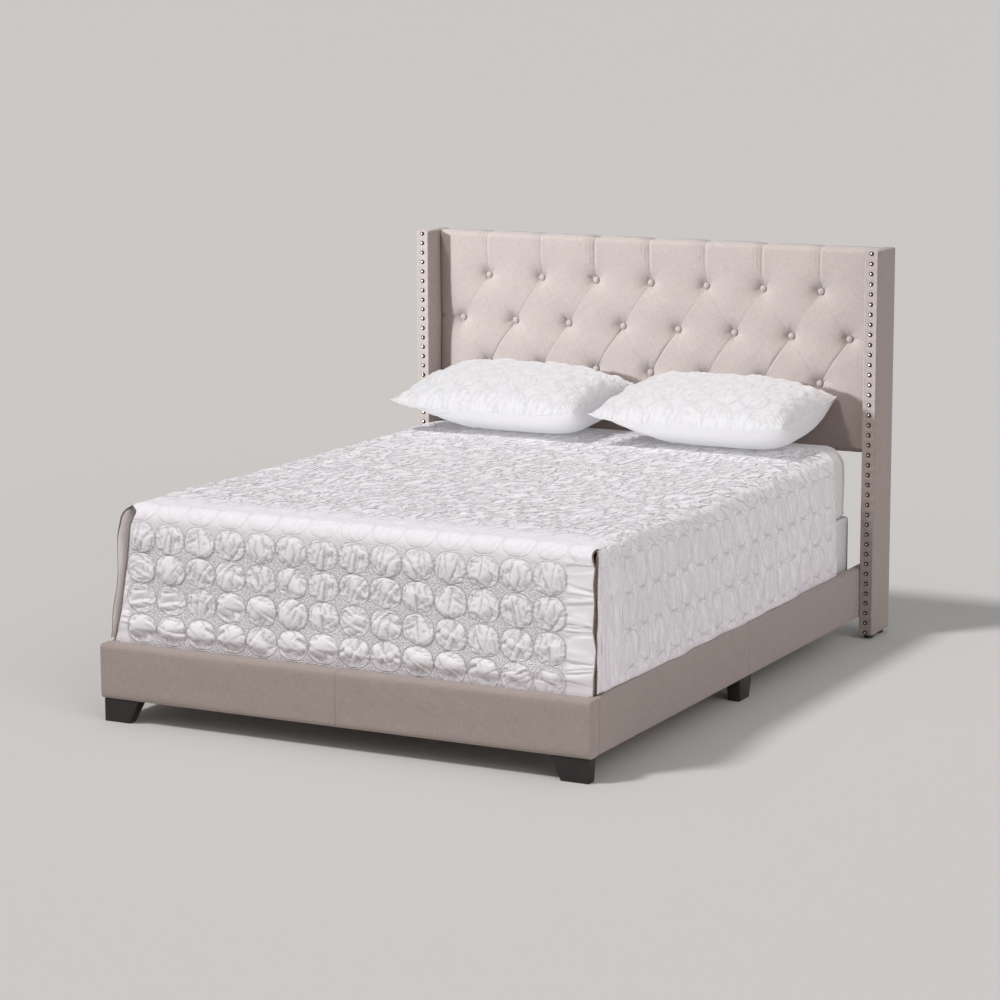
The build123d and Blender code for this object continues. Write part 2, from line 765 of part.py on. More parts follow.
def drop(half, first, last, flare, wave, hem_z, place):
    """A hanging side from first to last, its shallow folds one spacing apart."""
    count = max(ceil((last - first) / quilt_fold_spacing), 2)
    step = (last - first) / count
    wires = []
    for n in range(count + 1):
        position = first + n * step
        swing = wave * (-1) ** n
        hem_out = quilt_thickness + flare + swing
        mid_out = quilt_thickness + flare * (1 - quilt_mid_share) / 2 + (wave + swing) / 2
        wires.append(drop_section(lambda out, z: place(half + out, position, z),
                                  hem_out, mid_out, hem_z))
    return Solid.make_loft(wires, True)


def corner_half(sign, low, by_side):
    """The half of a foot corner, split along its diagonal, by the side drop or by the foot drop."""
    x, y = mattress_width / 2 - mattress_edge_radius, bedding_foot_y + mattress_edge_radius
    reach = 2 * mattress_edge_radius
    third = (x + reach, y) if by_side else (x, y - reach)
    corners = [(sign * px, py) for px, py in ((x, y), (x + reach, y - reach), third)]
    outline = Polyline(*corners, close=True)
    return Pos(0, 0, low) * extrude(make_face(outline.edges()), amount=2 * quilt_top)


def coverlet():
    """The quilt in one piece: a flat top and three drops, mitred over the foot corners and cut below."""
    half = mattress_width / 2
    turn = mattress_edge_radius
    head = bedding_head_y - quilt_head_bare
    flap_outer = footboard_back_y + quilt_foot_clearance
    flap_inner = flap_outer + quilt_thickness
    side_front = flap_inner + soft_clearance
    side_hem = rail_top + soft_clearance
    flat = block(-half + turn, half - turn, bedding_foot_y + turn, head, quilt_bottom, quilt_top)

    pieces = []
    for sign in (-1, 1):
        side = drop(half, side_front, head, quilt_flare, quilt_wave, side_hem,
                    lambda out, along, z, sign=sign: (sign * out, along, z))
        pieces.append(side - corner_half(sign, 0, False))

    foot_hem = rail_top - quilt_hem_tuck
    shoulder = quilt_top - turn - quilt_thickness
    left_top, left_hem = -half + quilt_foot_cut_left, -half - quilt_foot_flare_left
    right = half + quilt_foot_flare_right
    foot = drop(0, left_hem, right, 0, 0, foot_hem,
                lambda out, along, z: (along, bedding_foot_y - out, z))
    tuck_half = rail_inner - bedding_gap_side / 4
    outline = [(left_top, quilt_top + cut_overrun), (right, quilt_top + cut_overrun),
               (right, side_hem), (tuck_half, side_hem), (tuck_half, foot_hem - cut_overrun),
               (-tuck_half, foot_hem - cut_overrun), (-tuck_half, side_hem), (left_hem, side_hem),
               (left_top, quilt_top - turn)]
    trim = Plane.XZ * make_face(Polyline(*outline, close=True).edges())
    foot = foot & extrude(trim, amount=bed_length, both=True)
    pieces.append(foot - corner_half(1, shoulder, True))

    cover = flat
    for piece in pieces:
        cover = cover + piece
    return cover


# Pillows
def pillow_section(rise_share, height):
    """A pillow's outline at one height: sides drawn in at the seam, corners pulled out.

    Below the seam it is fuller, and leans to the right.
    """
    if height > 0:
        side_share = 1 - 0.06 * rise_share - 0.94 * rise_share ** 3.6
        corner_share = 1 - 0.36 * rise_share - 0.64 * rise_share ** 2.6
        middle = 0
    else:
        side_share = 1 - 0.03 * rise_share - 0.97 * rise_share ** 6.5
        corner_share = 1 - 0.38 * rise_share - 0.62 * rise_share ** 4
        middle = pillow_lean * rise_share
    roundest_share = 0.66
    corner_share = max(corner_share, roundest_share * side_share)
    side_x = (pillow_length / 2 - pillow_draw) * side_share
    side_y = (pillow_depth / 2 - pillow_draw) * side_share
    corner_x = pillow_length / 2 * corner_share
    corner_y = pillow_depth / 2 * corner_share
    points = [((-corner_x, -corner_y), (0, -side_y)), ((corner_x, -corner_y), (side_x, 0)),
              ((corner_x, corner_y), (0, side_y)), ((-corner_x, corner_y), (-side_x, 0))]
    return arc_wire([((middle + x, y, height), (middle + side, end, height))
                     for (x, y), (side, end) in points])


def pillow(center_x):
    below = [pillow_section(share, -share * pillow_belly) for share in pillow_rise_shares[:0:-1]]
    above = [pillow_section(share, share * pillow_crown) for share in pillow_rise_shares]
    body = Solid.make_loft(below + above, True)
    tilt = pillow_tilt * pi / 180
    y = crown_y - pillow_head_gap - pillow_depth / 2 * cos(tilt)
    z = quilt_top + pillow_belly * pillow_rise_shares[-1] - soft_clearance
    body = Pos(center_x, y, z) * Rot(pillow_tilt, 0, 0) * body
    seat = quilt_top + soft_clearance
    return body & block(center_x - pillow_length, center_x + pillow_length, y - pillow_length,
                        y + pillow_length, seat, seat + 2 * pillow_length)


os.makedirs("parts", exist_ok=True)
write_headboard()
both_sides(write_wing)
write_footboard()
both_sides(write_side_rail)
both_sides(write_ledger)
both_sides(write_bracket)
write_frame_fasteners()
both_sides(write_feet)
write_slats()
write_box_spring()
write_mattress()
write("coverlet", coverlet())
write("pillow_left", pillow(-pillow_center_left))
write("pillow_right", pillow(pillow_center_right))
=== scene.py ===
"""Upholstered wingback bed with its bedding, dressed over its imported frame. Metres."""

import json
import math

import bpy
import numpy as np
from mathutils import Matrix, Vector


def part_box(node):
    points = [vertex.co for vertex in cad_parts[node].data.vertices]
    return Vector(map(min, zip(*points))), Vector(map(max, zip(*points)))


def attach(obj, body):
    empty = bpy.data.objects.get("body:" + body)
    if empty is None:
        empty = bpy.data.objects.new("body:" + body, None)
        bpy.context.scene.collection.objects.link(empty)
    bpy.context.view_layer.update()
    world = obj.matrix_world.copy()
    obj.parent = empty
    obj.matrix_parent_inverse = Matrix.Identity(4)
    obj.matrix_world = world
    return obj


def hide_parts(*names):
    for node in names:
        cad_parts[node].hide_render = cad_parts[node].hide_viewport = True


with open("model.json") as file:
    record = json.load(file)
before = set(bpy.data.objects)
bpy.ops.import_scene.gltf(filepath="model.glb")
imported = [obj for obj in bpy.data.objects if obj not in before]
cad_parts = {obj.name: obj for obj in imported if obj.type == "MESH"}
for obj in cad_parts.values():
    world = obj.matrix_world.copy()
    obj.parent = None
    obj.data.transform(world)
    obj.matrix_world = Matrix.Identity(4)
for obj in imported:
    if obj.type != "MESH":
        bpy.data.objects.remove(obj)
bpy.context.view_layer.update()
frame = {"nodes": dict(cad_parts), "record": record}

# Camera
camera_place = Vector((4.4253, -8.6217, 2.2951))
camera_yaw = math.radians(27.383)
camera_pitch = math.radians(10.153)
camera_roll = math.radians(-0.188)
camera_lens = 111.97
floor_size = 900

# Places taken from the frame
footboard_low, footboard_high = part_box("footboard_cover")
cushion_low, cushion_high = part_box("headboard_cushion")
quilt_low, quilt_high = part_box("coverlet")
mattress_low, mattress_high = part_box("mattress_cover")
spring_low, spring_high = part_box("box_spring_cover")
panel_low, panel_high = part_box("headboard_panel")

# Buttons of the headboard
tuft_pitch = 0.208
tuft_rows = (1.147, 0.992, 0.837)
tuft_depth = 0.026

# Nails of the wings
nail_count = 39
nail_low, nail_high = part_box("wing_right_nails")
nail_radius = (nail_high.x - nail_low.x) / 2
nail_line = nail_low.x + nail_radius
nail_start = nail_low.z + nail_radius
nail_pitch = (nail_high.z - nail_start - nail_radius) / (nail_count - 1)

# Coverlet: rows of stitched circles
circle_pitch = 0.1045
circle_radius = 0.0500
circle_square = 2.5
column_shift = 0.0314
quilt_loft = 0.82
shoulder_radius = 0.045
side_turn = 0.726
foot_turn = 0.020
foot_shrink = 0.89
quilt_ground = quilt_high.z - 0.003
binding_radius = 0.0024
lining_depth = 0.006

# Cloth patch that gives the circles their creases
fold_angles = (90, 62, 36, 6, 80)
fold_counts = (4, 4, 3, 3, 3)
fold_depths = (0.0048, 0.0048, 0.0050, 0.0044, 0.0024)
patch_variants = 6
patch_cells = 32
patch_frames = 16
patch_pressure = 1.9

# Headboard's dust cloth
staple_pitch = 0.050


def deselect():
    bpy.ops.object.select_all(action="DESELECT")


def points_of(mesh):
    flat = np.empty(3 * len(mesh.vertices), np.float32)
    mesh.vertices.foreach_get("co", flat)
    return flat.reshape(-1, 3).astype(float)


def normals_of(mesh):
    flat = np.empty(3 * len(mesh.vertices), np.float32)
    mesh.vertex_normals.foreach_get("vector", flat)
    return flat.reshape(-1, 3).astype(float)


def place_points(mesh, points):
    mesh.vertices.foreach_set("co", points.astype(np.float32).ravel())
    mesh.update()


def place_map(mesh, across, along):
    """Lays the piece's UV map from two numbers a vertex."""
    corners = np.empty(len(mesh.loops), np.int32)
    mesh.loops.foreach_get("vertex_index", corners)
    pairs = np.stack((across[corners], along[corners]), 1)
    mesh.uv_layers.active.data.foreach_set("uv", pairs.astype(np.float32).ravel())


def smooth_step(value, start, end):
    share = np.clip((value - start) / (end - start), 0, 1)
    return share * share * (3 - 2 * share)


def soft_noise(x, y, size, seed):
    """Smooth seeded noise from -1 to 1 over a plane; size is the length of one swell."""
    lattice = np.random.default_rng(seed).uniform(-1, 1, (64, 64))
    x, y = np.asarray(x, float) / size + 32.37, np.asarray(y, float) / size + 32.71
    column, row = np.floor(x).astype(int), np.floor(y).astype(int)
    u, v = x - column, y - row
    u, v = u * u * (3 - 2 * u), v * v * (3 - 2 * v)

    def corner(dx, dy):
        return lattice[(column + dx) % 64, (row + dy) % 64]

    low = corner(0, 0) * (1 - u) + corner(1, 0) * u
    high = corner(0, 1) * (1 - u) + corner(1, 1) * u
    return low * (1 - v) + high * v


def grid(name, columns, rows):
    """A flat grid whose X and Y run from 0 to 1."""
    deselect()
    bpy.ops.mesh.primitive_grid_add(x_subdivisions=columns, y_subdivisions=rows, size=1,
                                    location=(0, 0, 0))
    piece = bpy.context.object
    piece.name = piece.data.name = name
    place_points(piece.data, points_of(piece.data) + (0.5, 0.5, 0))
    return piece


def steps(low, high, size, *fine):
    """Places from low to high, size apart, and closer together around each (place, reach, size)."""
    places = list(np.linspace(low, high, max(2, round((high - low) / size) + 1)))
    for middle, reach, fine_size in fine:
        places = [p for p in places if abs(p - middle) > reach]
        places += list(np.linspace(middle - reach, middle + reach, round(2 * reach / fine_size) + 1))
    return np.array(sorted(places))


def lined_grid(name, across, along):
    """A grid with a line at each given place, and each vertex's two places."""
    piece = grid(name, len(across) - 1, len(along) - 1)
    flat = points_of(piece.data)
    column = np.rint(flat[:, 0] * (len(across) - 1)).astype(int)
    row = np.rint(flat[:, 1] * (len(along) - 1)).astype(int)
    return piece, across[column], along[row]


def edit(piece):
    bpy.context.view_layer.objects.active = piece
    piece.select_set(True)
    bpy.ops.object.mode_set(mode="EDIT")


def pick(piece, chosen):
    """Selects the vertices marked in chosen, in edit mode."""
    bpy.ops.mesh.select_mode(type="VERT")
    bpy.ops.mesh.select_all(action="DESELECT")
    bpy.ops.object.mode_set(mode="OBJECT")
    piece.data.vertices.foreach_set("select", chosen)
    bpy.ops.object.mode_set(mode="EDIT")
    bpy.ops.mesh.select_mode(type="VERT")


def leave_edit():
    bpy.ops.object.mode_set(mode="OBJECT")
    deselect()


def finish(piece, body, material, slot, *nodes, sharp=None):
    """Smooths a piece, gives it its finish and its body, and says which nodes it stands for."""
    deselect()
    bpy.context.view_layer.objects.active = piece
    piece.select_set(True)
    if sharp is None:
        bpy.ops.object.shade_smooth()
    else:
        bpy.ops.object.shade_smooth_by_angle(angle=math.radians(sharp))
    piece.data.materials.clear()
    piece.data.materials.append(material)
    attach(piece, body)
    if nodes:
        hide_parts(*nodes)
    deselect()
    return piece


def apply_modifier(piece, kind, **settings):
    deselect()
    bpy.context.view_layer.objects.active = piece
    piece.select_set(True)
    modifier = piece.modifiers.new(kind.lower(), kind)
    for name, value in settings.items():
        setattr(modifier, name, value)
    bpy.ops.object.modifier_apply(modifier=modifier.name)
    deselect()


def tube_grid(name, along, around, form):
    """A tube: rings of form(along, around), with around from 0 to 1, joined round and open at both ends."""
    turns = np.linspace(0, 1, around + 1)
    piece, length, turn = lined_grid(name, along, turns)
    place_points(piece.data, form(length, turn))
    first, last = length == along[0], length == along[-1]
    edit(piece)
    bpy.ops.mesh.select_all(action="SELECT")
    bpy.ops.mesh.remove_doubles(threshold=1e-6)
    leave_edit()
    return piece


def cap_ends(piece, axis, low, high):
    """Closes the two open ends of a tube, which lie at low and high along axis."""
    points = points_of(piece.data)[:, axis]
    for end in (low, high):
        edit(piece)
        pick(piece, np.abs(points - end) < 1e-6)
        bpy.ops.mesh.edge_face_add()
        leave_edit()
    edit(piece)
    bpy.ops.mesh.select_all(action="SELECT")
    bpy.ops.mesh.normals_make_consistent(inside=False)
    leave_edit()


# Finishes
def new_material(name, roughness, sockets=()):
    material = bpy.data.materials.new(name)
    material.use_nodes = True
    shader = material.node_tree.nodes["Principled BSDF"]
    shader.inputs["Roughness"].default_value = roughness
    for socket, value in dict(sockets).items():
        shader.inputs[socket].default_value = value
    return material


def node(material, kind, *sources, **settings):
    """Adds a node; sources fill its inputs in turn, with a value or another node's output."""
    made = material.node_tree.nodes.new(kind)
    for name, value in settings.items():
        setattr(made, name, value)
    for socket, source in zip(made.inputs, sources):
        feed(material, socket, source)
    return made


def feed(material, socket, source):
    if isinstance(source, bpy.types.NodeSocket):
        material.node_tree.links.new(source, socket)
    elif source is not None:
        socket.default_value = source


def compute(material, operation, *sources):
    return node(material, "ShaderNodeMath", *sources, operation=operation).outputs[0]


def vector_math(material, operation, *sources):
    made = node(material, "ShaderNodeVectorMath", *sources, operation=operation)
    return made.outputs["Value"] if operation == "LENGTH" else made.outputs[0]


def noise(material, place, scale, detail=2.0, roughness=0.5, stretch=None):
    """A noise of 0 to 1; stretch scales the place on each axis first."""
    if stretch:
        place = vector_math(material, "MULTIPLY", place, stretch)
    made = node(material, "ShaderNodeTexNoise")
    feed(material, made.inputs["Vector"], place)
    made.inputs["Scale"].default_value = scale
    made.inputs["Detail"].default_value = detail
    made.inputs["Roughness"].default_value = roughness
    return made.outputs["Fac"]


def blend_colors(material, share, first, second):
    made = node(material, "ShaderNodeMix", data_type="RGBA")
    feed(material, made.inputs[0], share)
    feed(material, made.inputs[6], first)
    feed(material, made.inputs[7], second)
    return made.outputs[2]


def ramp(material, value, low, high):
    """Maps value from low..high to 0..1, held inside."""
    made = node(material, "ShaderNodeMapRange", value, low, high, 0.0, 1.0)
    return made.outputs[0]


def paint(material, color):
    feed(material, material.node_tree.nodes["Principled BSDF"].inputs["Base Color"], color)


def relieve(material, height, distance, strength=1.0):
    bump = node(material, "ShaderNodeBump")
    bump.inputs["Strength"].default_value = strength
    bump.inputs["Distance"].default_value = distance
    feed(material, bump.inputs["Height"], height)
    feed(material, material.node_tree.nodes["Principled BSDF"].inputs["Normal"],
         bump.outputs["Normal"])


def cloth_place(material):
    """Two threads' directions on any face: across and up, chosen by the way the face looks."""
    source = node(material, "ShaderNodeTexCoord")
    place = node(material, "ShaderNodeSeparateXYZ", source.outputs["Object"])
    facing = node(material, "ShaderNodeSeparateXYZ",
                  vector_math(material, "ABSOLUTE", source.outputs["Normal"]))
    x_side = compute(material, "GREATER_THAN", facing.outputs[0],
                     compute(material, "MAXIMUM", facing.outputs[1], facing.outputs[2]))
    top = compute(material, "GREATER_THAN", facing.outputs[2],
                  compute(material, "MAXIMUM", facing.outputs[0], facing.outputs[1]))
    across = node(material, "ShaderNodeMix")
    feed(material, across.inputs[0], x_side)
    feed(material, across.inputs[2], place.outputs[0])
    feed(material, across.inputs[3], place.outputs[1])
    up = node(material, "ShaderNodeMix")
    feed(material, up.inputs[0], top)
    feed(material, up.inputs[2], place.outputs[2])
    feed(material, up.inputs[3], place.outputs[1])
    return node(material, "ShaderNodeCombineXYZ", across.outputs[0], up.outputs[0]).outputs[0]


def weave(material, place, thread):
    """Height of a plain weave, 0 to 1."""
    parts = node(material, "ShaderNodeSeparateXYZ", place)
    turn = math.pi / thread
    warp = compute(material, "SINE", compute(material, "MULTIPLY", parts.outputs[0], turn))
    weft = compute(material, "SINE", compute(material, "MULTIPLY", parts.outputs[1], turn))
    crossed = compute(material, "MULTIPLY", warp, weft)
    return compute(material, "MULTIPLY_ADD", crossed, 0.5, 0.5)


def woven(name, light, dark, thread, slub, roughness, sheen=0.25, depth=0.0004, folds=None, deep=None):
    """A plain-woven cloth with thick and thin threads and a faint mottle.

    folds gives a mask of places painted darker, in deep's color, which by default is the dark thread's color
    times 0.42: painted shade in the headboard's creases, and a dark brown edge by the coverlet's slits.
    """
    material = new_material(name, roughness, {"Sheen Weight": sheen, "Sheen Roughness": 0.5,
                                              "Specular IOR Level": 0.25})
    place = cloth_place(material)
    source = node(material, "ShaderNodeTexCoord").outputs["Object"]
    warp = noise(material, place, 1, 2, 0.6, (1 / slub, 0.06 / slub, 1))
    weft = noise(material, place, 1, 2, 0.6, (0.06 / slub, 1 / slub, 1))
    threads = compute(material, "ADD", compute(material, "MULTIPLY", warp, 0.5),
                      compute(material, "MULTIPLY", weft, 0.5))
    mottle = noise(material, source, 14, 3, 0.6)
    share = compute(material, "ADD", compute(material, "MULTIPLY", threads, 0.90),
                    compute(material, "MULTIPLY", mottle, 0.10))
    color = blend_colors(material, ramp(material, share, 0.36, 0.64), dark, light)
    # Where folds marks, the cloth is darkened toward deep's color: painted shade in the headboard's creases.
    if folds:
        deep = deep or tuple(0.42 * channel for channel in dark[:3]) + (1,)
        color = blend_colors(material, folds(material), color, deep)
    paint(material, color)
    height = compute(material, "MULTIPLY_ADD", weave(material, place, thread), 0.6,
                     compute(material, "MULTIPLY", threads, 0.9))
    relieve(material, height, depth)
    return material


def slit_edges(material):
    """The coverlet's cut foot corners, where its binding is brown."""
    source = node(material, "ShaderNodeTexCoord").outputs["Object"]
    place = node(material, "ShaderNodeSeparateXYZ", source)
    return compute(material, "LESS_THAN", place.outputs[1], quilt_low.y + 0.042)


def line_mask(material, place, width, reach_share):
    """A mask around the middles of a repeating place: 1 on the line, 0 a width away."""
    off = compute(material, "ABSOLUTE",
                  compute(material, "SUBTRACT", compute(material, "FRACT", place), 0.5))
    mask = compute(material, "SUBTRACT", 1.0, ramp(material, off, 0.0, width))
    return compute(material, "MULTIPLY", compute(material, "POWER", mask, 1.6), reach_share)


def painted_crease_shade(material):
    """Painted shade in the headboard's creases: where they run, from the button pattern, strongest in the lower
    slanted ones.
    """
    source = node(material, "ShaderNodeTexCoord").outputs["Object"]
    place = node(material, "ShaderNodeSeparateXYZ", source)
    half, row = tuft_pitch / 2, tuft_rows[0] - tuft_rows[1]
    x = compute(material, "DIVIDE", place.outputs[0], 2 * half)
    z = compute(material, "DIVIDE", compute(material, "SUBTRACT", place.outputs[2], tuft_rows[1]),
                2 * row)
    span = compute(material, "ADD", compute(material, "ABSOLUTE", x), compute(material, "ABSOLUTE", z))
    inside = compute(material, "MULTIPLY", compute(material, "LESS_THAN", span, 3.52),
                     compute(material, "LESS_THAN", compute(material, "ABSOLUTE", z), 0.5))
    patches = ramp(material, noise(material, source, 9, 1, 0.5), 0.36, 0.60)
    below = compute(material, "MULTIPLY_ADD", compute(material, "LESS_THAN", z, 0.0), 0.60, 0.40)
    rising = line_mask(material, compute(material, "SUBTRACT", x, z), 0.018,
                       compute(material, "MULTIPLY", below,
                               compute(material, "MULTIPLY_ADD", patches, 0.75, 0.25)))
    falling = line_mask(material, compute(material, "ADD", x, z), 0.014,
                        compute(material, "MULTIPLY_ADD", patches, 0.22, 0.04))
    slanted = compute(material, "MULTIPLY", compute(material, "MAXIMUM", rising, falling), inside)
    above = compute(material, "GREATER_THAN", z, 0.5)
    between = compute(material, "LESS_THAN", compute(material, "ABSOLUTE", x), 3.2)
    upright = line_mask(material, compute(material, "ADD", x, 0.5), 0.016,
                        compute(material, "MULTIPLY_ADD", patches, 0.45, 0.25))
    upright = compute(material, "MULTIPLY", upright, compute(material, "MULTIPLY", above, between))
    return compute(material, "MAXIMUM", slanted, upright)


def crinkles(material, cells, slant, stretch):
    """A network of fine creases, turned and stretched over the cloth; 1 in their bottoms."""
    turned = node(material, "ShaderNodeVectorRotate", rotation_type="Z_AXIS")
    feed(material, turned.inputs["Vector"], cells)
    turned.inputs["Angle"].default_value = -math.radians(slant)
    swell = noise(material, turned.outputs[0], 1, 2, 0.5, stretch)
    off = compute(material, "ABSOLUTE", compute(material, "SUBTRACT", swell, 0.5))
    return compute(material, "SUBTRACT", 1.0, ramp(material, off, 0.0, 0.075))


def quilted_cotton(name, slant, stretch, light, ridges=False):
    """White cotton, stitched in circles, with a fine stipple between them.

    Its fine creases are sunk and painted with shade, or raised and painted with highlights where ridges is true.
    Its seams and the bottoms of its folds are painted with shade, and where ridges is true the upright sides of
    its seams are painted with highlights.

    The piece's UV maps tell where it is stitched and how plainly that shows, how deep in a fold
    each place lies and how crinkled the cloth is.
    """
    material = new_material(name, 0.85, {"Sheen Weight": 0.15, "Sheen Roughness": 0.5,
                                                     "Specular IOR Level": 0.2})
    cells = node(material, "ShaderNodeUVMap", uv_map="UVMap").outputs[0]
    local = vector_math(material, "SUBTRACT", vector_math(material, "FRACTION", cells),
                        (0.5, 0.5, 0))
    power = (circle_square, circle_square, circle_square)
    raised = vector_math(material, "POWER", vector_math(material, "ABSOLUTE", local), power)
    parts = node(material, "ShaderNodeSeparateXYZ", raised)
    reach = compute(material, "POWER", compute(material, "ADD", parts.outputs[0], parts.outputs[1]),
                    1 / circle_square)
    stitched = node(material, "ShaderNodeSeparateXYZ",
                    node(material, "ShaderNodeUVMap", uv_map="stitched").outputs[0])
    creased = node(material, "ShaderNodeSeparateXYZ",
                   node(material, "ShaderNodeUVMap", uv_map="creased").outputs[0])
    wander = noise(material, cells, 5, 2, 0.5)
    reach = compute(material, "MULTIPLY_ADD", compute(material, "SUBTRACT", wander, 0.5), 0.03, reach)
    seam_place = compute(material, "ABSOLUTE",
                         compute(material, "SUBTRACT", reach, circle_radius / circle_pitch))
    seam = compute(material, "MULTIPLY", stitched.outputs[0],
                   compute(material, "SUBTRACT", 1.0, ramp(material, seam_place, 0.004, 0.024)))
    ground = compute(material, "MULTIPLY", stitched.outputs[1], ramp(material, reach, 0.485, 0.52))
    dots = ramp(material, noise(material, cells, 21, 1, 0.5), 0.49, 0.60)
    painted_fold_shade = compute(material, "MULTIPLY", creased.outputs[0], 0.80)
    crinkled = compute(material, "MULTIPLY", creased.outputs[1],
                       crinkles(material, cells, slant, stretch))
    # Painted shade: the seams, the bottoms of folds and, unless ridges is true, the crinkles are darkened toward
    # a grey shade colour; the stipple's dots on the ground are the cloth's own pattern.
    shade = compute(material, "MULTIPLY_ADD", ground,
                    compute(material, "MULTIPLY_ADD", dots, 0.42, 0.04),
                    compute(material, "MULTIPLY", seam, 0.04 if ridges else 0.17))
    if not ridges:
        shade = compute(material, "ADD", shade, compute(material, "MULTIPLY", crinkled, 0.24))
    shade = compute(material, "MAXIMUM", shade, painted_fold_shade)
    color = blend_colors(material, shade, light, (0.49, 0.46, 0.475, 1))
    # Painted highlights: where ridges is true, the crinkles and the upright sides of the seams are painted pale.
    if ridges:
        sides = node(material, "ShaderNodeSeparateXYZ", vector_math(material, "ABSOLUTE", local))
        upright = compute(material, "MULTIPLY", seam, ramp(material, sides.outputs[1], 0.08, 0.34))
        patches = ramp(material, noise(material, cells, 2.2, 2, 0.6), 0.28, 0.48)
        painted_highlight_share = compute(material, "MAXIMUM", compute(material, "MULTIPLY", crinkled, 0.8),
                               compute(material, "MULTIPLY", upright, patches))
        color = blend_colors(material, painted_highlight_share, color, (0.98, 0.95, 0.99, 1))
    paint(material, color)
    height = compute(material, "MULTIPLY", ground, compute(material, "MULTIPLY", dots, -1.0))
    height = compute(material, "MULTIPLY_ADD", crinkled, 2.0 if ridges else -3.0, height)
    height = compute(material, "MULTIPLY_ADD", seam, 1.1 if ridges else -1.1, height)
    relieve(material, height, 0.0022)
    return material


def grained(name, light, dark, roughness, stretch):
    """Wood: streaks along one axis."""
    material = new_material(name, roughness)
    source = node(material, "ShaderNodeTexCoord").outputs["Object"]
    rings = noise(material, source, 1, 5, 0.62, stretch)
    pores = noise(material, source, 6, 3, 0.7, stretch)
    share = compute(material, "MULTIPLY_ADD", pores, 0.35, compute(material, "MULTIPLY", rings, 0.65))
    paint(material, blend_colors(material, ramp(material, share, 0.36, 0.64), dark, light))
    relieve(material, pores, 0.0003)
    return material


def worn(name, light, dark, roughness, metallic, scale, depth):
    """Metal or plastic with a fine uneven surface and slightly uneven gloss."""
    material = new_material(name, roughness, {"Metallic": metallic})
    source = node(material, "ShaderNodeTexCoord").outputs["Object"]
    patches = noise(material, source, scale, 4, 0.65)
    grain = noise(material, source, scale * 9, 2, 0.5)
    paint(material, blend_colors(material, ramp(material, patches, 0.38, 0.62), dark, light))
    shine = node(material, "ShaderNodeMapRange", patches, 0.3, 0.7, roughness * 0.8,
                 min(1, roughness * 1.25)).outputs[0]
    feed(material, material.node_tree.nodes["Principled BSDF"].inputs["Roughness"], shine)
    relieve(material, grain, depth)
    return material


def nail_head():
    """Antique metal with a painted highlight on the crown of each nail, and a nearly black rim round it that is
    partly patina and partly painted shade.
    """
    material = new_material("antique_nail", 0.20, {"Metallic": 0.8})
    source = node(material, "ShaderNodeTexCoord").outputs["Object"]
    place = node(material, "ShaderNodeSeparateXYZ", source)
    off_x = compute(material, "SUBTRACT", compute(material, "ABSOLUTE", place.outputs[0]), nail_line)
    count = compute(material, "DIVIDE", compute(material, "SUBTRACT", place.outputs[2], nail_start),
                    nail_pitch)
    off_z = compute(material, "MULTIPLY", nail_pitch,
                    compute(material, "SUBTRACT", count, compute(material, "ROUND", count)))
    off = compute(material, "SQRT", compute(material, "ADD",
                                            compute(material, "MULTIPLY", off_x, off_x),
                                            compute(material, "MULTIPLY", off_z, off_z)))
    patches = noise(material, source, 500, 3, 0.6)
    reach = compute(material, "MULTIPLY_ADD", patches, 0.002, off)
    # The bright crown is a painted highlight; the nearly black rim is partly patina and partly painted shade of
    # the dimple round each nail.
    paint(material, blend_colors(material, ramp(material, reach, 0.0026, 0.0050),
                                 (0.92, 0.87, 0.81, 1), (0.010, 0.008, 0.007, 1)))
    relieve(material, patches, 0.0002)
    return material


linen_light, linen_dark = (0.400, 0.330, 0.304, 1), (0.304, 0.245, 0.223, 1)
linen = woven("greige_linen", linen_light, linen_dark, 0.0011, 0.0017, 0.92)
tufted_linen = woven("tufted_linen", linen_light, linen_dark, 0.0011, 0.0015, 0.92, folds=painted_crease_shade)
lining = woven("coverlet_lining", (0.95, 0.91, 0.905, 1), (0.86, 0.80, 0.79, 1), 0.0009, 0.002, 0.9)
ticking = woven("mattress_ticking", (0.76, 0.75, 0.765, 1), (0.68, 0.67, 0.685, 1), 0.0009, 0.003, 0.8)
spring_ticking = woven("box_spring_ticking", (0.76, 0.75, 0.765, 1), (0.68, 0.67, 0.685, 1), 0.0009,
                       0.003, 0.8)
back_cloth_dark = woven("back_cloth", (0.060, 0.058, 0.056, 1), (0.035, 0.034, 0.033, 1), 0.0012,
                        0.002, 0.95, 0.05)
cotton = quilted_cotton("quilted_cotton", 66, (1.1, 3.0, 1), (0.835, 0.816, 0.848, 1))
# The side drops' copy of the coverlet's cotton is darker, as painted shade, and carries painted highlights on
# its raised creases and seams.
side_cotton_painted_light = quilted_cotton("quilted_cotton_side_painted_light", 8, (0.7, 3.0, 1), (0.775, 0.743, 0.780, 1), ridges=True)
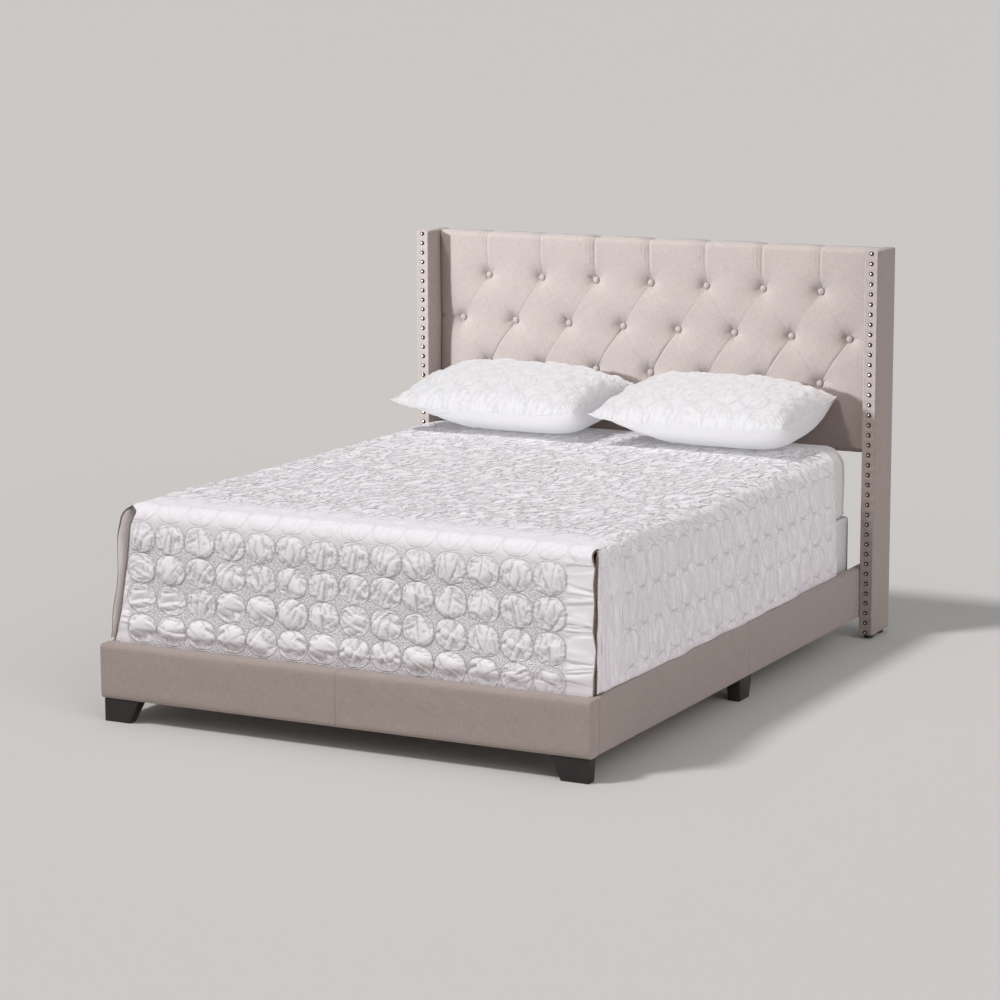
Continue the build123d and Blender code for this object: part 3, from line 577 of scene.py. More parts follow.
# The pillows' copy of the same cotton is darker, as painted shade.
pillow_cotton_shaded = quilted_cotton("pillow_cotton_shaded", 80, (1.1, 2.6, 1), (0.775, 0.770, 0.790, 1))
binding_cloth = woven("coverlet_binding", (0.80, 0.785, 0.80, 1), (0.72, 0.705, 0.72, 1), 0.0007, 0.002,
                      0.85, folds=slit_edges, deep=(0.21, 0.155, 0.125, 1))
antique_metal = nail_head()
foot_wood = grained("black_wood", (0.018, 0.016, 0.015, 1), (0.008, 0.007, 0.007, 1), 0.42,
                    (90, 90, 9))
board_wood = grained("plywood", (0.60, 0.44, 0.27, 1), (0.46, 0.31, 0.18, 1), 0.7, (9, 90, 40))
pine = grained("softwood", (0.68, 0.50, 0.30, 1), (0.52, 0.36, 0.20, 1), 0.7, (8, 60, 60))
glide_plastic = worn("black_plastic", (0.028, 0.028, 0.029, 1), (0.018, 0.018, 0.019, 1), 0.5, 0.0,
                     160, 0.0003)
bracket_steel = worn("black_steel", (0.035, 0.035, 0.037, 1), (0.018, 0.018, 0.020, 1), 0.5, 0.6,
                     240, 0.0003)
bright_steel = worn("zinc_steel", (0.62, 0.62, 0.60, 1), (0.46, 0.46, 0.45, 1), 0.36, 1.0, 260,
                    0.0002)
filling = worn("mattress_fill", (0.80, 0.77, 0.68, 1), (0.72, 0.69, 0.60, 1), 0.95, 0.0, 120,
               0.0010)

finishes = {"plywood": board_wood, "softwood": pine, "linen_fabric": linen,
            "back_cloth": back_cloth_dark, "antique_nail": antique_metal,
            "black_plastic": glide_plastic, "black_wood": foot_wood,
            "black_steel": bracket_steel, "zinc_steel": bright_steel,
            "box_spring_ticking": spring_ticking, "mattress_ticking": ticking,
            "mattress_fill": filling, "quilted_cotton": cotton}


def finish_nodes():
    """Gives every node of the frame the finish of its slot."""
    for part in frame["record"]["subparts"]:
        mesh = frame["nodes"][part["node"]].data
        mesh.materials.clear()
        mesh.materials.append(finishes[part["material_slot"]])


finish_nodes()


# Stitched circles
def folded_circle(x, y, kind, chance):
    """The folds that one circle starts with: curved valleys, each with a ridge beside it."""
    angle = math.radians(fold_angles[kind] + chance.uniform(-13, 13))
    across, along = x * math.sin(angle) - y * math.cos(angle), x * math.cos(angle) + y * math.sin(angle)
    count = fold_counts[kind]
    places = np.linspace(-0.036, 0.036, count) + chance.uniform(-0.006, 0.006, count)
    lift = 0 * x
    for place in places:
        bend, fan = chance.uniform(-5, 5), chance.uniform(-0.35, 0.35)
        off = across - place - bend * along ** 2 - fan * along
        end = chance.choice((-1, 1)) * along
        fade = smooth_step(end, chance.uniform(-0.05, 0.0), 0.028)
        width = chance.uniform(0.0040, 0.0075)
        valley = np.exp(-np.abs(off) / width) - 0.55 * np.exp(-((off - 2.1 * width) / (1.5 * width)) ** 2)
        lift -= fold_depths[kind] * chance.uniform(0.55, 1.25) * valley * (0.25 + 0.75 * fade)
    return lift


def creased_patch():
    """A row of inflated circles for each kind of crease.

    The ground between the circles is held, and cloth that is a little too large for them is
    blown up, so that it creases.
    """
    kinds = len(fold_angles)
    across, up = kinds * patch_cells, patch_variants * patch_cells
    patch = grid("creased_patch", across, up)
    flat = points_of(patch.data)
    cell_x, cell_y = flat[:, 0] * kinds, flat[:, 1] * patch_variants
    kind = np.minimum(cell_x.astype(int), kinds - 1)
    variant = np.minimum(cell_y.astype(int), patch_variants - 1)
    x, y = (cell_x - kind - 0.5) * circle_pitch, (cell_y - variant - 0.5) * circle_pitch
    reach = (np.abs(x) ** circle_square + np.abs(y) ** circle_square) ** (1 / circle_square)
    inside = reach < circle_radius
    chance = np.random.default_rng(11)
    folds = 0 * x
    for i in range(kinds):
        for j in range(patch_variants):
            chosen = (kind == i) & (variant == j)
            folds[chosen] = folded_circle(x[chosen], y[chosen], i, chance)
    crown = 0.0036 * np.clip(1 - (reach / circle_radius) ** 4, 0, 1)
    lift = np.where(inside, crown + folds * np.clip((circle_radius - reach) / 0.006, 0, 1), 0)
    start = np.stack((cell_x * circle_pitch, cell_y * circle_pitch, lift), 1)
    place_points(patch.data, start)
    held = patch.vertex_groups.new(name="stitched")
    held.add(np.nonzero(~inside)[0].tolist(), 1.0, "REPLACE")
    settle(patch, patch_frames, pins="stitched", pressure=patch_pressure, shrink=-0.12, bending=0.3)
    moved = points_of(patch.data)
    moved[:, :2] -= start[:, :2]
    order = np.rint(flat[:, 1] * up).astype(int) * (across + 1) + np.rint(flat[:, 0] * across).astype(int)
    relief = np.empty_like(moved)
    relief[order] = moved
    bpy.data.objects.remove(patch)
    relief = relief.reshape(up + 1, across + 1, 3)
    height, around = relief[:, :, 2], 0
    for dx in range(-2, 3):
        for dy in range(-2, 3):
            around = around + np.roll(height, (dy, dx), (0, 1)) / 25
    # sunk: how far each point lies below its surroundings; the finishes paint shade into it.
    sunk = np.clip((around - height) / 0.0011, 0, 1)
    return np.concatenate((relief, sunk[:, :, None]), 2)


def settle(piece, frames, pins, pressure, shrink, bending, stiffness=15):
    """Runs the cloth for some frames and keeps the result."""
    deselect()
    bpy.context.view_layer.objects.active = piece
    piece.select_set(True)
    cloth = piece.modifiers.new("cloth", "CLOTH")
    settings = cloth.settings
    settings.vertex_group_mass = pins
    settings.pin_stiffness = 1
    settings.use_pressure = True
    settings.uniform_pressure_force = pressure
    settings.effector_weights.gravity = 0
    settings.shrink_min = shrink
    settings.quality = 4
    settings.mass = 0.15
    settings.tension_stiffness = settings.compression_stiffness = stiffness
    settings.shear_stiffness = stiffness / 2
    settings.bending_stiffness = bending
    cloth.collision_settings.use_collision = False
    cloth.collision_settings.use_self_collision = False
    cloth.point_cache.frame_end = frames
    for number in range(1, frames + 1):
        bpy.context.scene.frame_set(number)
    bpy.ops.object.modifier_apply(modifier=cloth.name)
    bpy.context.scene.frame_set(1)
    deselect()


def quilting(across, along, choose, seed):
    """The relief of stitched circles: how far each point of flat cloth moves sideways and out.

    It also tells how deep in a fold each point lies, its place in circles, and where stitching is.

    choose gives a circle's kind of crease from its column and row, or -1 where there is none.
    """
    cell_x = (across - column_shift) / circle_pitch + 0.5
    cell_y = along / circle_pitch + 0.5
    column, row = np.floor(cell_x).astype(int), np.floor(cell_y).astype(int)
    u, v = cell_x - column, cell_y - row
    chance = np.random.default_rng(seed)
    kinds = np.empty((80, 80), int)
    variants = chance.integers(0, patch_variants, (80, 80))
    flips = chance.random((80, 80)) < 0.5
    draws = chance.random((80, 80))
    for i in range(80):
        for j in range(80):
            kinds[i, j] = choose(i - 40, j - 40, draws[i, j])
    kind, variant, flip = (table[column + 40, row + 40] for table in (kinds, variants, flips))
    stitched = kind >= 0
    kind = np.maximum(kind, 0)
    flip = flip & (kind != 1)
    u = np.where(flip, 1 - u, u)
    x, y = (kind + u) * patch_cells, (variant + v) * patch_cells
    left, low = np.floor(x).astype(int), np.floor(y).astype(int)
    left = np.minimum(left, patch.shape[1] - 2)
    low = np.minimum(low, patch.shape[0] - 2)
    du, dv = (x - left)[:, None], (y - low)[:, None]
    near = patch[low, left] * (1 - du) + patch[low, left + 1] * du
    far = patch[low + 1, left] * (1 - du) + patch[low + 1, left + 1] * du
    moved = near * (1 - dv) + far * dv
    moved[:, 0] = np.where(flip, -moved[:, 0], moved[:, 0])
    moved *= stitched[:, None]
    return moved[:, :3], moved[:, 3], np.stack((cell_x, cell_y), 1), stitched.astype(float)


# Coverlet
edge_left_heights = (0.218, 0.238, 0.301, 0.363, 0.425, 0.479, 0.541, 0.595, 0.645)
edge_left_places = (-0.802, -0.800, -0.782, -0.771, -0.761, -0.752, -0.743, -0.736, -0.714)
edge_right_heights = (0.218, 0.240, 0.313, 0.369, 0.420, 0.499, 0.555, 0.600, 0.651)
edge_right_places = (0.793, 0.794, 0.799, 0.804, 0.794, 0.798, 0.794, 0.799, 0.777)
lip_length, lip_turn = 0.042, 1.4


def coverlet_base(across, along):
    """Where a point of flat coverlet lies before its circles are raised."""
    side, reach = np.where(across < 0, -1.0, 1.0), np.abs(across)
    foot_start = quilt_low.y + shoulder_radius
    y = foot_start + (along - foot_turn)
    foot_run = np.clip(foot_turn - along, 0, None)
    turned = np.clip(foot_run / shoulder_radius, 0, math.pi / 2)
    hung = np.clip(foot_run - shoulder_radius * math.pi / 2, 0, None)
    y = np.where(foot_run > 0, foot_start - shoulder_radius * np.sin(turned), y)
    down_foot = shoulder_radius * (1 - np.cos(turned)) + hung * foot_shrink
    side_run = np.clip(reach - side_turn, 0, None)
    bent = np.clip(side_run / shoulder_radius, 0, math.pi / 2)
    fallen = np.clip(side_run - shoulder_radius * math.pi / 2, 0, None)
    out = np.where(side_run > 0, side_turn + shoulder_radius * np.sin(bent), reach)
    down_side = shoulder_radius * (1 - np.cos(bent)) + fallen
    sloped = smooth_step(y, quilt_low.y + 0.30, quilt_low.y + 0.85)
    down_side = down_side + 0.013 * sloped * smooth_step(reach, side_turn - 0.056, side_turn + 0.044)
    near_foot = 1 - smooth_step(y, quilt_low.y, quilt_low.y + 0.45)
    near_right = near_foot * (side > 0)
    near_left = near_foot * (side < 0)
    near_head = smooth_step(y, quilt_high.y - 0.75, quilt_high.y)
    lean = 0.080 + 0.085 * near_left - 0.080 * near_right - 0.045 * near_head
    out = out + fallen * lean
    out = out + 0.034 * near_right * smooth_step(reach, 0.60, side_turn + 0.03)
    ripple = soft_noise(y, side, 0.11, 21) * 0.005 + soft_noise(y, side * 3, 0.05, 22) * 0.002
    out = out + ripple * smooth_step(fallen, 0, 0.2)
    gathers = np.sin((y + soft_noise(y, fallen, 0.07, 23) * 0.006) / 0.017 * 2 * math.pi)
    gathered = near_right * smooth_step(y, quilt_low.y + 0.24, quilt_low.y + 0.06)
    out = out + 0.0016 * gathers * gathered * smooth_step(fallen, 0, 0.05)
    return side * out, y, down_foot, down_side, side


def coverlet_form(across, along, flap, drop):
    x, y, down_foot, down_side, side = coverlet_base(across, along)
    z = quilt_ground - down_foot - down_side
    z_flap = quilt_ground - down_foot - down_side * np.exp(-np.clip(foot_turn - along, 0, None) / 0.05)
    sag = 0.020 * smooth_step(x, 0.1, 0.6) * smooth_step(z_flap, 0.60, 0.34)
    z_flap = np.maximum(z_flap - sag, quilt_low.z + 0.001)
    left_edge = np.interp(z_flap, edge_left_heights, edge_left_places)
    right_edge = np.interp(z_flap, edge_right_heights, edge_right_places)
    slit = flap_half
    reach = np.clip(np.abs(across) / slit, 0, 1)
    edge = np.where(side < 0, left_edge, right_edge)
    down = smooth_step(foot_turn - along, 0.0, 0.05)
    shift = (edge - side * coverlet_corner_out(side)) * smooth_step(reach, 0.80, 1.0) * down
    x_flap = np.where(np.abs(across) > side_turn, side * (side_turn + (np.abs(x) - side_turn)), x) + shift
    y_flap = y + soft_noise(x, z_flap, 0.16, 31) * 0.004 * smooth_step(hang(z_flap), 0.05, 0.2)
    tuck = smooth_step(z_flap, 0.275, 0.243)
    belly = 0.005 * np.exp(-((z_flap - 0.288) / 0.026) ** 2)
    y_flap = y_flap - belly * (0.75 + 0.5 * soft_noise(x, z_flap, 0.13, 33))
    y_flap = y_flap * (1 - tuck) + (footboard_high.y + 0.003) * tuck
    fallen = np.clip(1 - (down_side - corner_down) / shoulder_radius, 0, 1)
    past = np.sqrt(1 - fallen ** 2)
    front = (quilt_low.y + 0.004) - (quilt_low.y + shoulder_radius)
    draw = (1 - smooth_step(y, quilt_low.y + shoulder_radius, quilt_low.y + 0.22))
    y_drop = y + front * draw * past
    hem = 0.0006 + 0.002 * (1 + soft_noise(y, side, 0.09, 32))
    z_drop = np.maximum(z, footboard_high.z + hem)
    x_drop, y_drop = left_lip(x, y_drop, y, z_drop, past)
    x = np.where(flap, x_flap, np.where(drop & (side < 0), x_drop, x))
    y = np.where(flap, y_flap, np.where(drop & (side < 0), y_drop, np.where(drop, y + front * draw * past, y)))
    z = np.where(flap, z_flap, np.where(drop, z_drop, z))
    return np.stack((x, y, z), 1)


def left_lip(x, y, y_flat, z, amount):
    """Turns the left drop's foot edge outward, so that its lining faces the foot."""
    from_edge = np.clip(y_flat - (quilt_low.y + shoulder_radius), 0, None)
    amount = amount * (0.50 + 0.50 * smooth_step(hang(z), 0.03, 0.12))
    wave = 0.0080 * soft_noise(z, 0 * z, 0.070, 44)
    inward = (0.028 + wave) * amount * (1 - smooth_step(from_edge, lip_length, 0.20))
    moved = np.minimum(x + inward, -0.768 + 0.020 * (1 - amount))
    turned = np.clip(lip_length - from_edge, 0, None)
    angle = np.maximum(lip_turn * amount * turned / lip_length, 1e-4)
    return moved - turned * (1 - np.cos(angle)) / angle, y + turned * (1 - np.sin(angle) / angle)


def hang(z):
    return quilt_ground - z


def coverlet_corner_out(side):
    """How far out the top's corner lies where the slit starts."""
    return np.where(side < 0, corner_left, corner_right)


def coverlet_crease(column, row, draw):
    """The kind of crease of one circle, from upright (0) over slanted (1, 2) and level (3) to
    smooth (4), or -1 where there is none."""
    if row < 0 and (column >= 7 or column <= -8) or row <= 1 and abs(column) >= 8:
        return -1
    if row < -1 and column <= -7:
        return 3
    if row == -1:
        return 0 if draw < 0.8 else 4
    if row == -2:
        return (0, 0, 1, 1, 4)[int(draw * 5)] if column < 2 else (0, 4, 4)[int(draw * 3)]
    if row == -3:
        return (1, 2, 2, 3, 4)[int(draw * 5)] if column < 2 else (0, 4, 2)[int(draw * 3)]
    if row < -3:
        return (2, 2, 3)[int(draw * 3)]
    if abs(column) >= 8:
        return 3 if draw < 0.8 else 4
    if row == 0:
        return 1 if draw < 0.6 else 0
    return (4, 0, 3, 4, 1)[int(draw * 5)]


flap_half = side_turn + 0.030
foot_seam = -circle_pitch / 2
left_seam = column_shift - 7.5 * circle_pitch
right_seam = column_shift + 7.5 * circle_pitch
border_right = column_shift + 6.5 * circle_pitch
corner_left = side_turn + shoulder_radius * math.sin(0.030 / shoulder_radius)
corner_down = shoulder_radius * (1 - math.cos(0.030 / shoulder_radius))
corner_right = corner_left + 0.034
side_length = shoulder_radius * math.pi / 2 + quilt_ground - shoulder_radius - footboard_high.z
flap_length = shoulder_radius * math.pi / 2 + (quilt_ground - shoulder_radius - quilt_low.z) / foot_shrink


def flat_lines(low, high, cell, *seams):
    """Places from low to high, cell apart, with a line at each seam between them."""
    bounds = [low] + [seam for seam in seams if low < seam < high] + [high]
    spans = [steps(start, end, cell) for start, end in zip(bounds, bounds[1:])]
    return np.concatenate([span[:-1] for span in spans] + [[high]])


def coverlet_panel(name, low, high, cell):
    """A stretch of flat coverlet from low to high, (across, along), less its cut corners, laid
    in place. Returns it with its vertices' flat places and whether they hang at foot or side."""
    across = flat_lines(low[0], high[0], cell, -flap_half, flap_half)
    along = flat_lines(low[1], high[1], cell, foot_turn)
    piece, x, y = lined_grid(name, across, along)
    place_points(piece.data, np.stack((x, y, 0 * x), 1))
    corner = (np.abs(x) > flap_half + 1e-7) & (y < foot_turn - 1e-7)
    if corner.any():
        edit(piece)
        pick(piece, corner)
        bpy.ops.mesh.delete(type="VERT")
        leave_edit()
    flat = points_of(piece.data)
    x, y = flat[:, 0], flat[:, 1]
    flap, drop = y < foot_turn - 1e-7, np.abs(x) > flap_half + 1e-7
    base = coverlet_form(x, y, flap, drop)
    place_points(piece.data, base)
    return piece, x, y, flap, drop, base


def relief_level(base, cloth_x, flap, drop):
    """How much of the stitched relief shows at each point: none at edges and under the pillows."""
    along_top = base[:, 1] - quilt_low.y
    top = 0.42 - 0.16 * smooth_step(along_top, 0.20, 0.06)
    hung = hang(base[:, 2])
    side = 0.24 + 0.36 * smooth_step(hung, 0.08, 0.20) * smooth_step(along_top, 0.16, 0.42)
    level = np.where(flap, 0.26 + 0.74 * smooth_step(hung, 0.026, 0.080), np.where(drop, side, top))
    shown = level.copy()
    level = level * quilt_loft
    left = np.abs(cloth_x - np.interp(base[:, 2], edge_left_heights, edge_left_places))
    right = np.abs(cloth_x - np.interp(base[:, 2], edge_right_heights, edge_right_places))
    level = level * np.where(flap, smooth_step(np.minimum(left, right), 0.0, 0.022), 1)
    level = level * np.where(drop, smooth_step(base[:, 1], quilt_low.y, quilt_low.y + 0.03), 1)
    level = level * smooth_step(quilt_high.y - base[:, 1], 0.0, 0.02)
    level = level * np.where(flap, smooth_step(base[:, 2], 0.240, 0.275), 1)
    level = level * np.where(drop, smooth_step(base[:, 2], footboard_high.z, 0.262), 1)
    for low, high in pillow_boxes:
        reach_x = np.abs(base[:, 0] - (low.x + high.x) / 2) - 0.26
        reach_y = np.abs(base[:, 1] - (low.y + high.y) / 2) - 0.13
        under = smooth_step(np.maximum(reach_x, reach_y), 0.06, -0.02) * (base[:, 2] > 0.62)
        level = level * (1 - under)
    return level, shown


def raise_circles(piece, x, y, flap, drop, base):
    """Lifts the stitched circles and the small folds out of a laid panel."""
    cloth_x = np.where(flap, base[:, 0], x)
    relief, sunk, cells, stitched = quilting(cloth_x, y, coverlet_crease, 41)
    level, shown = relief_level(base, cloth_x, flap, drop)
    normal = laid_normals(x, y, flap, drop, base)
    side_facing = (np.abs(normal[:, 0]) > 0.7)[:, None]
    tangent = np.where(side_facing, (0.0, 1.0, 0.0), (1.0, 0.0, 0.0))
    tangent -= normal * np.sum(tangent * normal, 1)[:, None]
    tangent /= np.linalg.norm(tangent, axis=1)[:, None]
    other = np.cross(normal, tangent)
    lift = np.maximum(relief[:, 2], -0.0015) * level + edge_puckers(base, flap)
    lift += streaks(x, y, flap, drop, base) * smooth_step(level, 0.0, 0.08)
    lift = np.where(flap, np.maximum(lift, -0.0034), lift)
    moved = (base + tangent * (relief[:, 0] * level)[:, None]
             + other * (relief[:, 1] * level)[:, None] + normal * lift[:, None])
    place_points(piece.data, moved)
    place_map(piece.data, cells[:, 0], cells[:, 1])
    ends = smooth_step(cloth_x, border_right + 0.020, border_right - 0.030)
    ends = ends * smooth_step(cloth_x, left_seam, left_seam + 0.020)
    hung = smooth_step(hang(base[:, 2]), 0.02, 0.13)
    plain = np.where(flap, 0.10 + 0.90 * hung, np.where(drop, 0.12, 0.10))
    past_shoulder = smooth_step(base[:, 1] - quilt_low.y, 0.05, 0.26)
    beside = (x > right_seam) | (x < left_seam)
    # How strongly the seams and folds are painted: with shade on the top and the flap, with highlights on the
    # seams of the side drops.
    outlined = np.where(flap, 0.35 + 0.65 * hung, np.where(beside, 0.8, 0.20))
    mark(piece, "stitched", stitched * outlined, ends * plain)
    mark(piece, "creased", sunk * shown * np.where(beside, 0.3, 1.0),
         np.where(flap, 0.0, np.where(drop, 0.5, past_shoulder)))


def laid_normals(x, y, flap, drop, base):
    """The laid cloth's outward direction, from two small steps over the flat cloth."""
    step = 0.0015
    right = coverlet_form(x + step, y, flap, drop) - coverlet_form(x - step, y, flap, drop)
    up = coverlet_form(x, y + step, flap, drop) - coverlet_form(x, y - step, flap, drop)
    normal = np.cross(right, up)
    return normal / np.maximum(np.linalg.norm(normal, axis=1), 1e-9)[:, None]


def streaks(x, y, flap, drop, base):
    """Fine creases that cross the circles and the ground alike."""
    lengthwise, crosswise = x * 0.407 + y * 0.914, x * 0.914 - y * 0.407
    slant = soft_noise(lengthwise * 0.6, crosswise * 1.7, 0.030, 35)
    network = soft_noise(lengthwise * 0.55, crosswise * 1.2, 0.030, 37)
    network = network + 0.5 * soft_noise(lengthwise * 0.8, crosswise * 1.5, 0.014, 38)
    level_top = 0.0014 * slant - 0.0032 * np.exp(-(network / 0.20) ** 2)
    level_top = level_top * (0.15 + 0.85 * smooth_step(base[:, 1] - quilt_low.y, 0.05, 0.28))
    sway = 0.012 * soft_noise(x, y, 0.09, 39)
    upright = soft_noise(x * 0.22, y * 1.6 + sway, 0.030, 36)
    pleats = soft_noise(x * 0.15, y * 3.0 + sway, 0.034, 40)
    near_slit = smooth_step(base[:, 1], quilt_low.y + 0.34, quilt_low.y + 0.10)
    side = 0.0028 * upright + 0.0040 * np.exp(-(pleats / 0.20) ** 2) * (0.45 + 0.55 * near_slit)
    fine = soft_noise(x * 1.0 + y * 0.55, (y - x * 0.55) * 0.28, 0.0085, 45)
    shoulder = smooth_step(hang(base[:, 2]), 0.085, 0.045)
    return np.where(drop, side, np.where(flap, 0.0004 * slant + 0.0009 * fine * shoulder, level_top))


def mark(piece, name, first, second):
    """Keeps two numbers a vertex as a UV map of its own, for the finish to read."""
    layers = piece.data.uv_layers
    layers.new(name=name)
    layers.active = layers[name]
    place_map(piece.data, first, second)
    layers.active = layers[0]


def make_coverlet():
    """The coverlet in four stretches that meet between two rows of circles, and its binding."""
    side_end = side_turn + side_length
    head = quilt_high.y - (quilt_low.y + shoulder_radius) + foot_turn
    flap_end = foot_turn - flap_length
    fine = circle_pitch / 19
    finer = circle_pitch / 31
    finest = circle_pitch / 33
    stretches = (("coverlet_top", (left_seam, foot_seam), (right_seam, head), fine),
                 ("coverlet_foot", (-flap_half, flap_end), (flap_half, foot_seam), finest),
                 ("coverlet_left", (-side_end, foot_turn), (left_seam, head), finer),
                 ("coverlet_right", (right_seam, foot_turn), (side_end, head), finer))
    panels = []
    for name, low, high, cell in stretches:
        piece, *laid = coverlet_panel(name, low, high, cell)
        raise_circles(piece, *laid)
        panels.append(piece)
    whole = coverlet_panel("coverlet_binding", (-side_end, flap_end), (side_end, head),
                           circle_pitch / 9)[0]
    make_binding(whole)
    return panels, whole


def edge_puckers(base, flap):
    """The small folds between the last stitched column and the flap's slit edges."""
    x, z = base[:, 0], base[:, 2]
    fan = 0.35 * (np.abs(x) - 0.70) * np.sin((quilt_ground - z) / 0.093 * 2 * math.pi)
    folds = soft_noise(z * 3.0 + fan, x * 0.30, 0.034, 34)
    lift = 0.0030 * folds - 0.0046 * np.exp(-(soft_noise(z * 2.2 + fan, x * 0.25, 0.030, 30) / 0.24) ** 2)
    right = smooth_step(x, 0.695, 0.725) * smooth_step(x, 0.802, 0.782)
    left_edge = np.interp(z, edge_left_heights, edge_left_places)
    left = smooth_step(x, -0.740, -0.760) * smooth_step(x, left_edge, left_edge + 0.014)
    return lift * (right + left) * flap * smooth_step(z, 0.25, 0.30)


def make_binding(rim):
    """Leaves only a thin roll along a sheet's rim."""
    edit(rim)
    bpy.ops.mesh.select_all(action="DESELECT")
    bpy.ops.mesh.select_mode(type="EDGE")
    bpy.ops.mesh.select_non_manifold(extend=False, use_wire=False, use_boundary=True,
                                     use_multi_face=False, use_non_contiguous=False, use_verts=False)
    bpy.ops.mesh.select_all(action="INVERT")
    bpy.ops.mesh.delete(type="EDGE")
    bpy.ops.mesh.select_all(action="SELECT")
    bpy.ops.mesh.delete(type="ONLY_FACE")
    leave_edit()
    rim.select_set(True)
    bpy.context.view_layer.objects.active = rim
    bpy.ops.object.convert(target="CURVE")
    rim.data.bevel_depth = binding_radius
    rim.data.bevel_resolution = 1
    bpy.ops.object.convert(target="MESH")
    deselect()


def make_lining():
    """The coverlet's back, which shows where the slits stand open."""
    side_end = side_turn + side_length
    head = quilt_high.y - (quilt_low.y + shoulder_radius) + foot_turn
    piece = coverlet_panel("coverlet_lining", (-side_end, foot_turn - flap_length), (side_end, head),
                           circle_pitch / 6)[0]
    place_points(piece.data, points_of(piece.data) - normals_of(piece.data) * lining_depth)
    return piece


pillow_boxes = (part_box("pillow_left"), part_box("pillow_right"))
patch = creased_patch()
panels, coverlet_rim = make_coverlet()
finish(coverlet_rim, "mattress", binding_cloth, "quilted_cotton")
coverlet_back = finish(make_lining(), "mattress", lining, "quilted_cotton")
side_end = side_turn + side_length
top_length = quilt_high.y - quilt_low.y - shoulder_radius + foot_turn - foot_seam
flats = ((right_seam - left_seam, top_length), (2 * flap_half, foot_seam - foot_turn + flap_length),
         (side_end + left_seam, top_length + foot_seam - foot_turn),
         (side_end - right_seam, top_length + foot_seam - foot_turn))
for panel, flat, cloth in zip(panels, flats, (cotton, cotton, side_cotton_painted_light, side_cotton_painted_light)):
    finish(panel, "mattress", cloth, "quilted_cotton", "coverlet")


# Headboard
def tuft_places():
    """The buttons: three rows, the middle one set half a pitch aside."""
    places = []
    for row, z in enumerate(tuft_rows):
        shift = 0.5 if row == 1 else 0
        count = 8 if row == 1 else 7
        for n in range(count):
            places.append(((n - (count - 1) / 2) * tuft_pitch, z))
    return places


def crease_lines():
    """The folds between buttons, (start, end, depth): slanted ones, and level ones into the wings."""
    lines = []
    top, middle, bottom = tuft_rows
    half = tuft_pitch / 2
    chance = np.random.default_rng(57)
    for n in range(-3, 4):
        x = n * tuft_pitch
        for side, above, below in ((-1, 0.0050, 0.0090), (1, 0.0034, 0.0036)):
            uneven = chance.uniform(0.7, 1.25, 2)
            lines.append(((x, top), (x + side * half, middle), above * uneven[0]))
            lines.append(((x, bottom), (x - side * half, middle), below * uneven[1]))
    for side in (-1, 1):
        x = side * 3.5 * tuft_pitch
        lines.append(((x, middle), (side * cushion_high.x, middle + 0.004), 0.011))
    return lines


def line_reach(x, z, start, end):
    """Each point's distance from a line, and how far along it the nearest place is, 0 to 1."""
    step = np.array(end) - np.array(start)
    share = ((x - start[0]) * step[0] + (z - start[1]) * step[1]) / (step @ step)
    share = np.clip(share, 0, 1)
    return np.hypot(x - start[0] - share * step[0], z - start[1] - share * step[1]), share


def button_dimples(x, z):
    """How far the buttons pull the face in, with small folds that run into each of them."""
    depth, folds = np.zeros_like(x), np.zeros_like(x)
    chance = np.random.default_rng(53)
    for bx, bz in tuft_places():
        reach = np.hypot(x - bx, z - bz)
        angle = np.arctan2(z - bz, x - bx)
        uneven = 1 + 0.10 * np.sin(angle + chance.uniform(0, 6.28)) + 0.06 * np.sin(2 * angle)
        narrow = np.exp(-np.clip(reach - 0.010, 0, None) / (0.0200 * uneven))
        wide = np.exp(-(reach / 0.075) ** 1.5)
        depth = np.maximum(depth, tuft_depth * (0.80 * narrow + 0.20 * wide))
        for middle in chance.uniform(0, 2 * math.pi, 9):
            off = np.abs((angle - middle + math.pi) % (2 * math.pi) - math.pi) * reach
            length = chance.uniform(0.026, 0.052)
            fade = smooth_step(reach, 0.010, 0.018) * smooth_step(reach, length, length * 0.5)
            folds += chance.uniform(0.0010, 0.0026) * np.exp(-(off / 0.0036) ** 1.3) * fade
    return depth + folds


def slanted_folds(x, z):
    """The thin creases that join the buttons."""
    valley = np.zeros_like(x)
    for start, end, fall in crease_lines():
        reach, share = line_reach(x, z, start, end)
        level = fall * (1 - 0.45 * np.sin(np.pi * share))
        sharp = 0.55 * np.exp(-(reach / 0.0032) ** 1.2) + 0.45 * np.exp(-(reach / 0.020) ** 1.3)
        valley = np.maximum(valley, level * sharp)
    return valley


def upright_pleats(x, z):
    """The pleats above the top row: each falls slowly from the left and jumps back at its edge."""
    nearest = np.clip(np.rint(x / tuft_pitch), -3, 3)
    past = x - nearest * tuft_pitch
    fall = np.where(past < 0, np.exp(past / 0.012), np.exp(-past / 0.0050))
    lip = 0.0016 * np.exp(-((past - 0.013) / 0.008) ** 2)
    lesser = 0.0018 * (np.exp(-np.abs(past + 0.013) / 0.0030) + 0.8 * np.exp(-np.abs(past + 0.025) / 0.0030))
    above = smooth_step(z, tuft_rows[0] - 0.004, tuft_rows[0] + 0.030)
    return (0.0100 * fall + lesser - lip) * pleat_strength(nearest) * above


def pleat_strength(number):
    """How deep each upright pleat is, from the left one (-3) to the right one (3)."""
    return np.interp(number, np.arange(-3, 4), (0.60, 0.50, 1.10, 1.00, 0.75, 0.90, 0.65))


